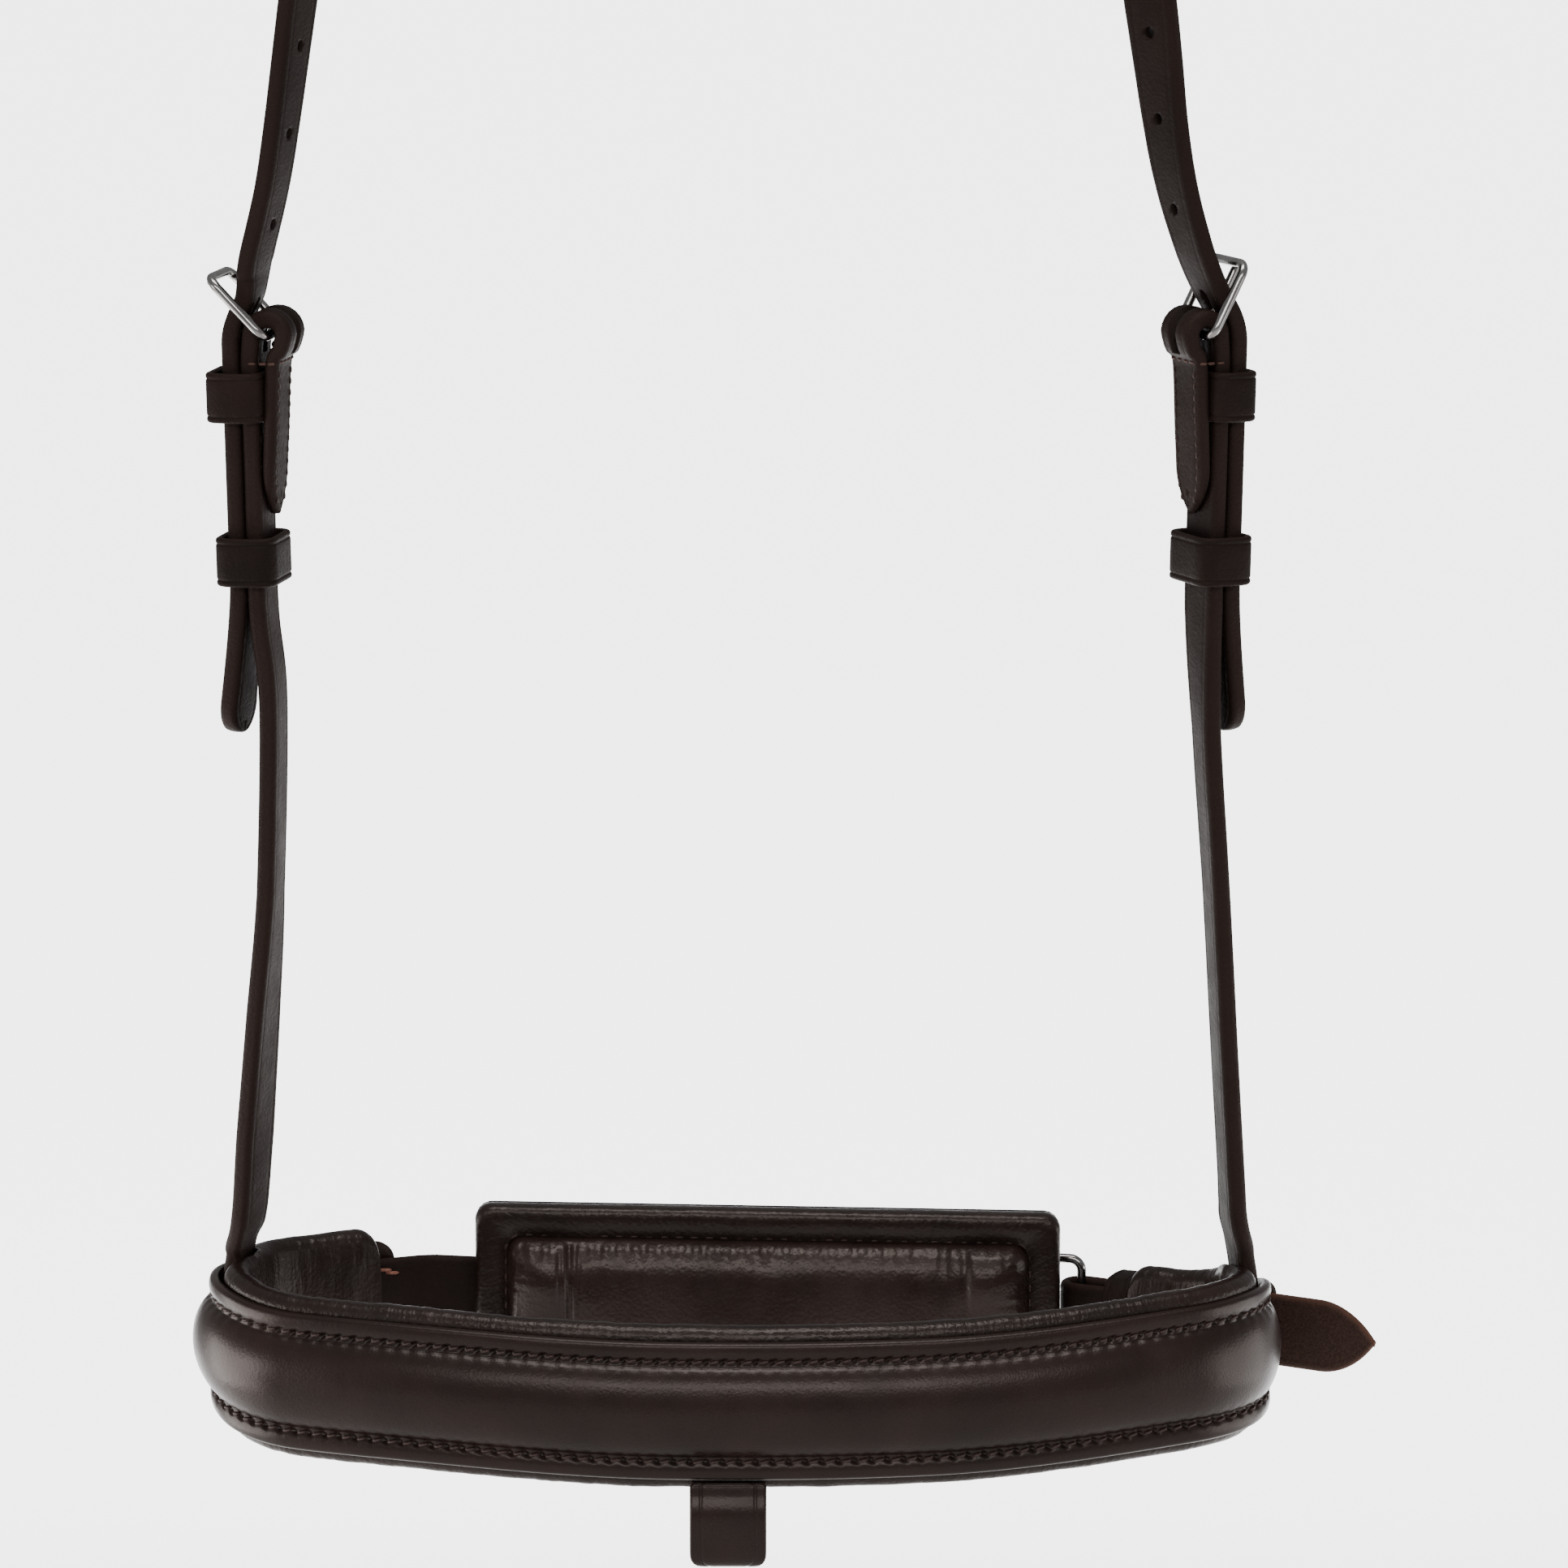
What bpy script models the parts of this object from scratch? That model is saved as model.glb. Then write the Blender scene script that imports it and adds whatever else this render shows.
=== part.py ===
# Padded noseband of a bridle on its hanger straps and poll strap.
# Metres, +Z up, +Y towards the horse's throat. The origin is the middle of the flat
# underside of the strap's crown, which rests on the horse's poll.
from math import asin, cos, pi, radians, sin, sqrt

import bmesh
import bpy
from mathutils import Matrix, Vector

# Clearances
GAP = 0.0003
SLIDE_GAP = 0.0006

# Poll strap and cheek straps
STRAP_WIDTH = 0.015
STRAP_THICK = 0.0048
EDGE_ROUND = 0.0009
CROWN_FLAT = 0.030
CROWN_TURN = radians(82)
HOLE_RADIUS = 0.0016
HOLE_PITCH = 0.0243
HOLES_ABOVE = 3
HOLES_BELOW = 2
HOLE_SHIFT = {"left": 0.0022, "right": 0.0045}
TAIL_LENGTH = 0.109
TAIL_TIP = 0.009
TAIL_FLARE = 0.0038
TURNBACK_LENGTH = 0.049
TURNBACK_TIP = 0.013
BAR_DROP = 0.264
NOSEBAND_DROP = 0.547
STRAIGHT_STACK = 0.075
STACK_LEAN = radians(1.3)

# Cheek buckles
WIRE_RADIUS = 0.0015
BUCKLE_LENGTH = 0.0215
BUCKLE_SIDE_GAP = 0.0007
BUCKLE_CORNER = 0.003
TONGUE_RADIUS = 0.0012
TONGUE_OVERHANG = 0.0012
TONGUE_SLOT_GAP = 0.0006
TONGUE_HOLE_LENGTH = 0.0124
FOLD_GAP = 0.0007
BAR_TO_STRAP = 0.0053

# Keepers
KEEPER_WALL = 0.0020
KEEPER_SKIVED = 0.0012
FIXED_KEEPER_START = 0.0098
FIXED_KEEPER_HEIGHT = 0.0135
LOOSE_KEEPER_START = 0.0545
LOOSE_KEEPER_HEIGHT = 0.0132

# Each side's own hang: outward distance of the buckle bar, then heights above the bar with
# the strap's outward step from the bar and its twist, and heights above the noseband with
# the share of the way out from the bar to the sewn-in end and the twist
SIDES = {
    "left": {
        "side": -1,
        "bar_out": 0.1250,
        "stack_twist": radians(13),
        "frame_tilt": radians(43),
        "through": (0.0062, 0.0050),
        "upper": ((0.021, 0.0043, 21), (0.039, 0.0, 21), (0.057, -0.0030, 23), (0.089, -0.0075, 28)),
        "lower": ((0.182, 0.10, 11), (0.130, 0.21, 11), (0.096, 0.41, 20), (0.062, 0.63, 26), (0.040, 0.78, 23)),
    },
    "right": {
        "side": 1,
        "bar_out": 0.1222,
        "stack_twist": radians(27),
        "frame_tilt": radians(27),
        "through": (0.0056, 0.0022),
        "upper": ((0.0245, -0.0009, 30), (0.0396, -0.0052, 34), (0.057, -0.0084, 40), (0.0887, -0.0126, 58)),
        "lower": ((0.175, 0.28, 13), (0.130, 0.49, 11), (0.085, 0.67, 11), (0.052, 0.81, 11), (0.040, 0.86, 12)),
    },
}

# Noseband seam line in plan: a wide arc over the nose, a tight arc at each side
NOSE_RADIUS = 0.300
NOSE_TURN = radians(24)
SIDE_RADIUS = 0.035
SIDE_TURN = radians(129.4)
LEFT_PAD_END = 0.0218
RIGHT_PAD_END = 0.0140
LEFT_FLAP = 0.0080
# Steps up or down of the noseband's middle line away from the front: height and the runs it is spread over
RISES = {
    "left": ((0.0016, 0.020, 0.100), (0.0050, 0.120, 0.180)),
    "right": ((0.0037, 0.050, 0.150), (-0.0067, 0.166, 0.206)),
}

# Noseband section
OUTER_HEIGHT = 0.038
OUTER_END_HEIGHT = 0.029
TAPER_START = 0.140
OUTER_THICK = 0.0024
BULGE_HEIGHT = 0.0246
BULGE_PROUD = 0.0050
BULGE_PROUD_LEFT = 0.0052
BULGE_PROUD_RIGHT = 0.0034
BULGE_FADE = 0.014
PAD_HEIGHT = 0.045
PAD_END_HEIGHT = 0.040
PAD_DEPTH = 0.0080
LINING_THICK = 0.0012
LINING_LIP = 0.0100
END_ROUND = 0.006

# Sewn-in ends of the cheek straps
TAB_TURN = radians(12)
TAB_SKIVED = 0.0024
TAB_INSET = 0.0033
TAB_TOP_INSET = 0.0050
TAB_BOTTOM = -0.012
TILT_AXIS_HEIGHT = 0.0245
TAB_RISE = 0.00475

# Chin strap, crank strap and chin pad
CHIN_WIDTH = 0.0206
CHIN_THICK = 0.0030
CHIN_BACK = 0.1060
CHIN_TURNBACK = 0.0245
POCKET_DEPTH = 0.024
POCKET_INSET = 0.0020
POCKET_OPEN = 0.0010
POCKET_END_GAP = 0.0016
RING_INSET = 0.04446
RING_LENGTH = 0.0168
RING_HEIGHT = 0.0325
CRANK_HEIGHT = -0.0015
CRANK_BEND = 0.0030
CRANK_TAIL = 0.0530
CRANK_TIP = 0.014
CHAPE_THICK = 0.0022
CHAPE_BAR = -0.0040
CHAPE_TURNBACK = 0.020
CRANK_FRAME_LENGTH = 0.0168
CRANK_HOLE_LENGTH = 0.0125
CRANK_KEEPER_WIDTH = 0.0078
CRANK_FIXED_START = 0.0050
CRANK_FIXED_WIDTH = 0.0060
PAD_PAST_RING = 0.0100
CHIN_PAD_LENGTH = 0.163
CHIN_PAD_HEIGHT = 0.052
CHIN_PAD_RISE = 0.0040
CHIN_PAD_CORNER = 0.0045
CHIN_PAD_BORDER = 0.0085
CHIN_PAD_EDGE = 0.0052
CHIN_PAD_CROWN = 0.0060
CHIN_PAD_SKIN = 0.0014
CHIN_BACKING = 0.0018
PAD_LOOP_WALL = 0.0014
PAD_LOOP_WIDTH = 0.014
PAD_LOOP_SPACING = 0.074

# Flash loop under the nose
FLASH_MIDDLE = -0.0030
FLASH_WIDTH = 0.0206
FLASH_THICK = 0.0022
FLASH_DROP = 0.0235
FLASH_SLOT = 0.0046
FLASH_ROOT = 0.0018

# Colours from dark brown leather and bright metal
LEATHER = ((0.030, 0.019, 0.015), 0.42, 0.0)
SOFT_LEATHER = ((0.034, 0.023, 0.019), 0.60, 0.0)
FOAM = ((0.35, 0.33, 0.30), 0.90, 0.0)
STEEL = ((0.72, 0.72, 0.73), 0.22, 1.0)

Y_AXIS = Vector((0, 1, 0))
Z_AXIS = Vector((0, 0, 1))


def ring_point_in_plan(run):
    """Position and heading of the seam line at a run from the front centre, on the right half."""
    nose_run = NOSE_RADIUS * NOSE_TURN
    side_run = SIDE_RADIUS * SIDE_TURN
    if run <= nose_run:
        turn = run / NOSE_RADIUS
        return NOSE_RADIUS * sin(turn), NOSE_RADIUS * (1 - cos(turn)), turn
    x = (NOSE_RADIUS - SIDE_RADIUS) * sin(NOSE_TURN)
    y = NOSE_RADIUS * (1 - cos(NOSE_TURN)) + SIDE_RADIUS * cos(NOSE_TURN)
    turn = min(NOSE_TURN + (run - nose_run) / SIDE_RADIUS, NOSE_TURN + SIDE_TURN)
    rest = max(run - nose_run - side_run, 0.0)
    x += SIDE_RADIUS * sin(turn) + rest * cos(turn)
    y += -SIDE_RADIUS * cos(turn) + rest * sin(turn)
    return x, y, turn


BEND_END = NOSE_RADIUS * NOSE_TURN + SIDE_RADIUS * SIDE_TURN
WIDEST = NOSE_RADIUS * NOSE_TURN + SIDE_RADIUS * (pi / 2 - NOSE_TURN)
WIDEST_Y = ring_point_in_plan(WIDEST)[1]
TAB_RUN = WIDEST + SIDE_RADIUS * TAB_TURN
CHIN_Y = CHIN_BACK - WIDEST_Y
END_TURN = NOSE_TURN + SIDE_TURN
RING_BAR_OUT = ring_point_in_plan(BEND_END)[0] - RING_INSET
PAD_CENTRE_OUT = RING_BAR_OUT + PAD_PAST_RING - CHIN_PAD_LENGTH / 2


def ease(value, low, high):
    share = min(max((value - low) / (high - low), 0.0), 1.0)
    return share * share * (3 - 2 * share)


def ring_rise(run):
    """How far the noseband's middle line lies above the front centre's level."""
    steps = RISES["left" if run < 0 else "right"]
    return sum(height * ease(abs(run), low, high) for height, low, high in steps)


def ring(run, out, up):
    """A point by its run along the seam line, its distance outside it and its height on the noseband."""
    side = -1 if run < 0 else 1
    x, y, turn = ring_point_in_plan(abs(run))
    x += out * sin(turn)
    y -= out * cos(turn)
    return Vector((side * x, y - WIDEST_Y, up + ring_rise(run) - NOSEBAND_DROP))


def end_line(run, out, up):
    """A point beside the right end's straight stretch, which goes on past the bend as a tangent."""
    x, y, turn = ring_point_in_plan(BEND_END)
    x += run * cos(turn) + out * sin(turn)
    y += run * sin(turn) - out * cos(turn)
    return Vector((x, y - WIDEST_Y, up - NOSEBAND_DROP))


# Mesh helpers


def material(name, look):
    found = bpy.data.materials.get(name)
    if found:
        return found
    made = bpy.data.materials.new(name)
    made.use_nodes = True
    shader = made.node_tree.nodes["Principled BSDF"]
    colour, roughness, metallic = look
    shader.inputs["Base Color"].default_value = (*colour, 1.0)
    shader.inputs["Roughness"].default_value = roughness
    shader.inputs["Metallic"].default_value = metallic
    return made


def finish(name, data, look):
    """Links a piece to the scene with a material of its own."""
    piece = bpy.data.objects.new(name, data)
    bpy.context.collection.objects.link(piece)
    data.materials.append(material(name + "_finish", look))
    return piece


def loft(name, rings, look, closed=False):
    """Skins rings of equal length; the two ends are capped unless the run is closed."""
    shape = bmesh.new()
    loops = [[shape.verts.new(point) for point in points] for points in rings]
    pairs = list(zip(loops, loops[1:]))
    if closed:
        pairs.append((loops[-1], loops[0]))
    for low, high in pairs:
        for index in range(len(low)):
            after = (index + 1) % len(low)
            shape.faces.new((low[index], low[after], high[after], high[index]))
    if not closed:
        shape.faces.new(reversed(loops[0]))
        shape.faces.new(loops[-1])
    bmesh.ops.recalc_face_normals(shape, faces=shape.faces)
    data = bpy.data.meshes.new(name)
    shape.to_mesh(data)
    shape.free()
    data.shade_smooth()
    data.set_sharp_from_angle(angle=radians(40))
    return finish(name, data, look)


def hide(cutter):
    cutter.hide_render = True
    cutter.display_type = "WIRE"
    return cutter


def cut(piece, cutter):
    """Takes the cutter's shape out of the piece with a live Boolean."""
    hide(cutter)
    step = piece.modifiers.new(cutter.name, "BOOLEAN")
    step.operation = "DIFFERENCE"
    step.solver = "EXACT"
    step.object = cutter


def wire(name, points, radius, look, closed=False):
    """A round bar along straight runs between points."""
    curve = bpy.data.curves.new(name, "CURVE")
    curve.dimensions = "3D"
    curve.bevel_depth = radius
    curve.bevel_resolution = 2
    curve.use_fill_caps = not closed
    line = curve.splines.new("POLY")
    line.points.add(len(points) - 1)
    for target, point in zip(line.points, points):
        target.co = (*point, 1.0)
    line.use_cyclic_u = closed
    return finish(name, curve, look)


def pivot(name, point, parent=None):
    """An empty on a joint's axis, which carries the pieces that turn or slide there."""
    empty = bpy.data.objects.new(name, None)
    bpy.context.collection.objects.link(empty)
    empty.empty_display_size = 0.01
    empty["joint_point"] = tuple(point)
    base = Vector(parent["joint_point"]) if parent else Vector((0, 0, 0))
    empty.parent = parent
    empty.location = Vector(point) - base
    return empty


def hang(piece, empty):
    """Moves a piece's origin to its joint and parents it there, with the piece left in place."""
    shift = -Vector(empty["joint_point"])
    if piece.type == "CURVE":
        for line in piece.data.splines:
            for point in line.points:
                point.co = (*(Vector(point.co[:3]) + shift), 1.0)
    else:
        piece.data.transform(Matrix.Translation(shift))
    piece.parent = empty


# Paths


def smooth_line(points, step=0.002):
    """A Catmull-Rom curve through vectors of any length, as closely spaced vectors."""
    ends = [2 * points[0] - points[1], *points, 2 * points[-1] - points[-2]]
    line = []
    for first, start, stop, last in zip(ends, ends[1:], ends[2:], ends[3:]):
        count = max(int((stop - start).length / step), 2)
        for index in range(count):
            t = index / count
            line.append(0.5 * (2 * start + t * (stop - first)
                               + t * t * (2 * first - 5 * start + 4 * stop - last)
                               + t ** 3 * (3 * start - first - 3 * stop + last)))
    line.append(points[-1].copy())
    return line


def arc(centre, first, second, radius, start, stop, step=radians(20)):
    """Points of a circle about a centre, from one angle to another, from the first towards the second axis."""
    count = max(int(abs(stop - start) / step + 0.999), 1)
    angles = [start + (stop - start) * index / count for index in range(count + 1)]
    return [centre + radius * (cos(angle) * first + sin(angle) * second) for angle in angles]


def thin(line, longest=0.012, bend=radians(6)):
    """Keeps the points of a dense line where it has turned or run far enough."""
    kept = [0]
    turned = 0.0
    run = 0.0
    for index in range(1, len(line) - 1):
        before = line[index] - line[index - 1]
        after = line[index + 1] - line[index]
        run += before.length
        turned += before.angle(after, 0.0)
        if run >= longest or turned >= bend:
            kept.append(index)
            run = turned = 0.0
    kept.append(len(line) - 1)
    return kept


def strap_rings(places, width, thick, first_tip=0.0, last_tip=0.0):
    """Chamfered sections across a strap; places hold a point, a width direction and a share of thickness."""
    points = [place[0] for place in places]
    runs = [0.0]
    for before, after in zip(points, points[1:]):
        runs.append(runs[-1] + (after - before).length)
    rings = []
    for index, (point, across, share) in enumerate(places):
        ahead = points[min(index + 1, len(points) - 1)]
        behind = points[max(index - 1, 0)]
        along = (ahead - behind).normalized()
        across = (across - across.dot(along) * along).normalized()
        normal = along.cross(across)
        half = width / 2
        for tip, run in ((first_tip, runs[index]), (last_tip, runs[-1] - runs[index])):
            if tip and run < tip:
                half = min(half, width / 2 * max(sqrt(1 - (1 - run / tip) ** 2), 0.16))
        deep = thick * share / 2
        edge = min(EDGE_ROUND, half * 0.4, deep * 0.6)
        outline = ((half, -deep + edge), (half, deep - edge), (half - edge, deep), (edge - half, deep),
                   (-half, deep - edge), (-half, edge - deep), (edge - half, -deep), (half - edge, -deep))
        rings.append([point + a * across + b * normal for a, b in outline])
    return rings


def tip_stations(line, tip, at_start):
    """Indices that mark the close sections of a rounded strap end on a dense line."""
    marks = [tip * share for share in (0.06, 0.22, 0.5, 1.0)]
    run = 0.0
    found = []
    order = range(len(line) - 1) if at_start else range(len(line) - 1, 0, -1)
    for index in order:
        step = 1 if at_start else -1
        run += (line[index + step] - line[index]).length
        while marks and run >= marks[0]:
            found.append(index + step)
            marks.pop(0)
        if not marks:
            break
    return found


def strap(name, line, across, width, thick, look, first_tip=0.0, last_tip=0.0, share=None, marks=()):
    """A flat strap along a dense line; across gives its width direction at each point's index."""
    keep = set(thin(line)) | set(marks)
    if first_tip:
        keep |= set(tip_stations(line, first_tip, True))
    if last_tip:
        keep |= set(tip_stations(line, last_tip, False))
    places = [(line[index], across(index), share(index) if share else 1.0) for index in sorted(keep)]
    return loft(name, strap_rings(places, width, thick, first_tip, last_tip), look)


class Stack:
    """The layers at a buckle: origin on its bar, down along the chape, out towards the tail."""

    def __init__(self, origin, down, out):
        self.origin = origin
        self.down = down
        self.out = out
        self.across = down.cross(out)

    def at(self, down, out, across=0.0):
        return self.origin + down * self.down + out * self.out + across * self.across


def band(name, stack, start, height, inner, walls, look):
    """A keeper: a flat band round a rectangle of inner out and across limits, from start down by height."""
    out_low, out_high, half = inner
    wall_low, wall_high, wall_side = walls
    edge = EDGE_ROUND

    def outline(low, high, side, corner):
        return ((low + corner, -side), (high - corner, -side), (high, -side + corner), (high, side - corner),
                (high - corner, side), (low + corner, side), (low, side - corner), (low, -side + corner))

    outside = outline(out_low - wall_low, out_high + wall_high, half + wall_side, 2 * edge)
    inside = outline(out_low, out_high, half, 0.5 * edge)
    rings = []
    for down, line in ((start, inside), (start, outside), (start + height, outside), (start + height, inside)):
        rings.append([stack.at(down, out, across) for out, across in line])
    return loft(name, rings, look, closed=True)


def buckle_frame(name, stack, tilt, length, inner_half, look):
    """A rectangle of round bar: its end bar on the stack's origin, tilted up and out."""
    up = -cos(tilt) * stack.down + sin(tilt) * stack.out
    half = inner_half + WIRE_RADIUS
    corners = ((0, -half, -1, -1), (0, half, -1, 1), (length, half, 1, 1), (length, -half, 1, -1))
    points = []
    for along, across, along_sign, across_sign in corners:
        centre = stack.origin + (along - along_sign * BUCKLE_CORNER) * up
        centre += (across - across_sign * BUCKLE_CORNER) * stack.across
        first = along_sign * up
        second = across_sign * stack.across
        turn = arc(centre, first, second, BUCKLE_CORNER, 0, pi / 2, radians(30))
        points += reversed(turn) if along_sign * across_sign > 0 else turn
    return wire(name, points, WIRE_RADIUS, look, closed=True)


def buckle_tongue(name, stack, tilt, length, look):
    """A bent wire hooked round the end bar, lying on the outer bar's outer side."""
    up = -cos(tilt) * stack.down + sin(tilt) * stack.out
    face = cos(tilt) * stack.out + sin(tilt) * stack.down
    reach = WIRE_RADIUS + GAP + TONGUE_RADIUS
    rest = length + TONGUE_OVERHANG
    hook = arc(stack.origin, up, face, reach, radians(-235), radians(90), radians(30))
    points = hook + [stack.origin + reach * face + rest * up]
    return wire(name, points, TONGUE_RADIUS, look)


def slot_cutter(name, centre, along, across, normal, length, width, depth):
    """A long hole with round ends: its length lies along, its width across."""
    straight = (length - width) / 2
    line = arc(centre + straight * along, along, across, width / 2, -pi / 2, pi / 2, radians(45))
    line += arc(centre - straight * along, along, across, width / 2, pi / 2, 3 * pi / 2, radians(45))
    rings = [[point + shift * normal for point in line] for shift in (-depth / 2, depth / 2)]
    return loft(name, rings, LEATHER)


# Cheek side pieces


def stack_of(side_name):
    """The buckle's layers on one side: leaning in as they go down and turned to face the front a little."""
    values = SIDES[side_name]
    side = values["side"]
    twist = values["stack_twist"]
    out = Vector((side * cos(twist), sin(twist), 0))
    down = -cos(STACK_LEAN) * Z_AXIS - sin(STACK_LEAN) * out
    lean_out = cos(STACK_LEAN) * out - sin(STACK_LEAN) * Z_AXIS
    origin = Vector((side * values["bar_out"], 0, -BAR_DROP))
    return Stack(origin, down, lean_out)


FOLD_RADIUS = WIRE_RADIUS + FOLD_GAP + STRAP_THICK / 2
KEEPER_SPREAD = STRAP_THICK + KEEPER_SKIVED + 4 * GAP
LAYER = STRAP_THICK + GAP


def across_of(values, line, twists):
    """Width direction of a cheek strap: straight to the front, turned out at its edge by the twist."""
    side = values["side"]

    def across(index):
        height = line[index].z
        pairs = sorted(twists)
        heights = [pair[0] for pair in pairs]
        angle = pairs[0][1] if height < heights[0] else pairs[-1][1]
        for (low, start), (high, stop) in zip(pairs, pairs[1:]):
            if low <= height <= high:
                angle = start + (stop - start) * (height - low) / (high - low)
        return Vector((side * sin(angle), -cos(angle), 0))

    return across


def tab_point(side, inset, height):
    """A point on a sewn-in strap end, at the same height on both sides."""
    point = ring(TAB_RUN, -inset, height + TAB_RISE - ring_rise(TAB_RUN))
    return Vector((side * point.x, point.y, point.z))


def tilt_point(side):
    """Where a cheek strap turns into the tab sewn in the noseband."""
    return tab_point(side, TAB_TOP_INSET, TILT_AXIS_HEIGHT)


def cheek_strap(side_name):
    """One strap: turnback under the buckle, round its bar and down to the noseband."""
    values = SIDES[side_name]
    side = values["side"]
    stack = stack_of(side_name)
    near = BAR_TO_STRAP - LAYER
    spread = BAR_TO_STRAP - KEEPER_SPREAD
    keeper_end = FIXED_KEEPER_START + FIXED_KEEPER_HEIGHT
    inner = ((TURNBACK_LENGTH, near), (keeper_end + 0.012, near), (keeper_end + 0.003, spread),
             (FIXED_KEEPER_START - 0.002, spread - 0.0002), (0.004, -FOLD_RADIUS + 0.0006), (0, -FOLD_RADIUS))
    line = smooth_line([stack.at(down, out) for down, out in inner])
    line += arc(stack.origin, -stack.out, -stack.down, FOLD_RADIUS, radians(10), radians(170), radians(10))
    outer = [(0, FOLD_RADIUS), (0.006, BAR_TO_STRAP - 0.0001), (0.012, BAR_TO_STRAP), (0.040, BAR_TO_STRAP),
             (STRAIGHT_STACK, BAR_TO_STRAP)]
    points = [stack.at(down, out) for down, out in outer]
    foot = tilt_point(side)
    reach = side * foot.x - values["bar_out"]
    points += [Vector((side * (values["bar_out"] + share * reach), 0, height - NOSEBAND_DROP))
               for height, share, _ in values["lower"]]
    points.append(foot + Vector((0, 0, STRAP_WIDTH * 0.145)))
    line += smooth_line(points)
    twists = [(height - NOSEBAND_DROP, radians(twist)) for height, _, twist in values["lower"]]
    twists += [(stack.at(STRAIGHT_STACK, 0).z, values["stack_twist"]), (foot.z, TAB_TURN)]
    across = across_of(values, line, twists)
    name = side_name + "_cheek_strap"
    piece = strap(name, line, across, STRAP_WIDTH, STRAP_THICK, LEATHER, first_tip=TURNBACK_TIP)
    half_slot = TONGUE_RADIUS + TONGUE_SLOT_GAP
    below = WIRE_RADIUS + GAP + 2 * TONGUE_RADIUS + 0.001
    top = FOLD_RADIUS + STRAP_THICK
    rings = []
    for down in (-top, below):
        corners = ((-top, -half_slot), (top, -half_slot), (top, half_slot), (-top, half_slot))
        rings.append([stack.at(down, out, wide) for out, wide in corners])
    cut(piece, loft(side_name + "_fold_slot", rings, LEATHER))
    turn = Vector((side * cos(TAB_TURN), sin(TAB_TURN), 0))
    front = turn.cross(Z_AXIS)
    radius = STRAP_WIDTH / 2 + 2 * GAP
    rim = arc(foot, front, Z_AXIS, radius, 0, 2 * pi, radians(10))[:-1]
    rings = [[point + shift * turn for point in rim] for shift in (-STRAP_THICK, STRAP_THICK)]
    cut(piece, loft(side_name + "_foot_cut", rings, LEATHER))


def strap_tab(side_name):
    """The cheek strap's sewn-in end: round at the top, skived and flat in the noseband's padding."""
    side = SIDES[side_name]["side"]

    def line_for(extra_top, extra_bottom):
        levels = ((TILT_AXIS_HEIGHT + STRAP_WIDTH / 2 + extra_top, TAB_TOP_INSET),
                  (TILT_AXIS_HEIGHT, TAB_TOP_INSET), (0.013, TAB_INSET), (0.004, TAB_INSET),
                  (TAB_BOTTOM - extra_bottom, TAB_INSET))
        return smooth_line([tab_point(side, inset, level) for level, inset in levels])

    def share_for(line):
        def share(index):
            height = line[index].z + NOSEBAND_DROP - TAB_RISE
            skive = ease(height, 0.004, 0.017)
            return (TAB_SKIVED + (STRAP_THICK - TAB_SKIVED) * skive) / STRAP_THICK
        return share

    def across(_):
        return Vector((side * sin(TAB_TURN), -cos(TAB_TURN), 0))

    line = line_for(0, 0)
    strap(side_name + "_strap_tab", line, across, STRAP_WIDTH, STRAP_THICK, LEATHER,
          first_tip=STRAP_WIDTH / 2, share=share_for(line))
    line = line_for(0.002, GAP)
    keep = thin(line)
    share = share_for(line)
    grown = STRAP_THICK + 3 * GAP
    places = [(line[i], across(i), (share(i) * STRAP_THICK + 3 * GAP) / grown) for i in keep]
    pocket = loft(side_name + "_tab_pocket", strap_rings(places, STRAP_WIDTH + 3 * GAP, grown), LEATHER)
    return hide(pocket)


def crown_shape(side_name):
    """Radius of the arch and length of its straight lean, from the crown's flat to the first upper point."""
    height, step, _ = SIDES[side_name]["upper"][-1]
    drop = BAR_DROP - height + STRAP_THICK / 2
    reach = SIDES[side_name]["bar_out"] + step - CROWN_FLAT / 2
    wide, tall = sin(CROWN_TURN), 1 - cos(CROWN_TURN)
    lean = (drop - reach * tall / wide) / (wide - cos(CROWN_TURN) * tall / wide)
    return (reach - lean * cos(CROWN_TURN)) / wide, lean


def half_poll_strap(side_name):
    """The poll strap's line and twists on one side, from its tail tip up to the crown's flat."""
    values = SIDES[side_name]
    side = values["side"]
    stack = stack_of(side_name)
    tail_out = BAR_TO_STRAP + LAYER
    low = ((TAIL_LENGTH, tail_out + TAIL_FLARE), (0.085, tail_out + 0.3 * TAIL_FLARE), (0.069, tail_out),
           (0.050, tail_out), (0.033, tail_out),
           (0.007, tail_out), (0, tail_out - 0.0002), (-0.005, 0.0086), (-0.010, values["through"][0]),
           (-0.016, values["through"][1]))
    points = [stack.at(down, out) for down, out in low]
    points += [Vector((side * (values["bar_out"] + step), 0, height - BAR_DROP))
               for height, step, _ in values["upper"]]
    radius, _ = crown_shape(side_name)
    centre = Vector((side * CROWN_FLAT / 2, 0, STRAP_THICK / 2 - radius))
    arch = arc(centre, Vector((side, 0, 0)), Z_AXIS, radius, pi / 2 - CROWN_TURN, pi / 2, radians(2))
    line = smooth_line(points + [arch[0]])[:-1] + arch
    twists = [(height - BAR_DROP, radians(twist)) for height, _, twist in values["upper"]]
    twists += [(stack.origin.z - 1.0, values["stack_twist"]), (stack.at(-0.010, 0).z, values["stack_twist"]),
               (arch[0].z, radians(values["upper"][-1][2]) * 0.8),
               (0.0, 0.0)]
    return line, twists


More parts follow.
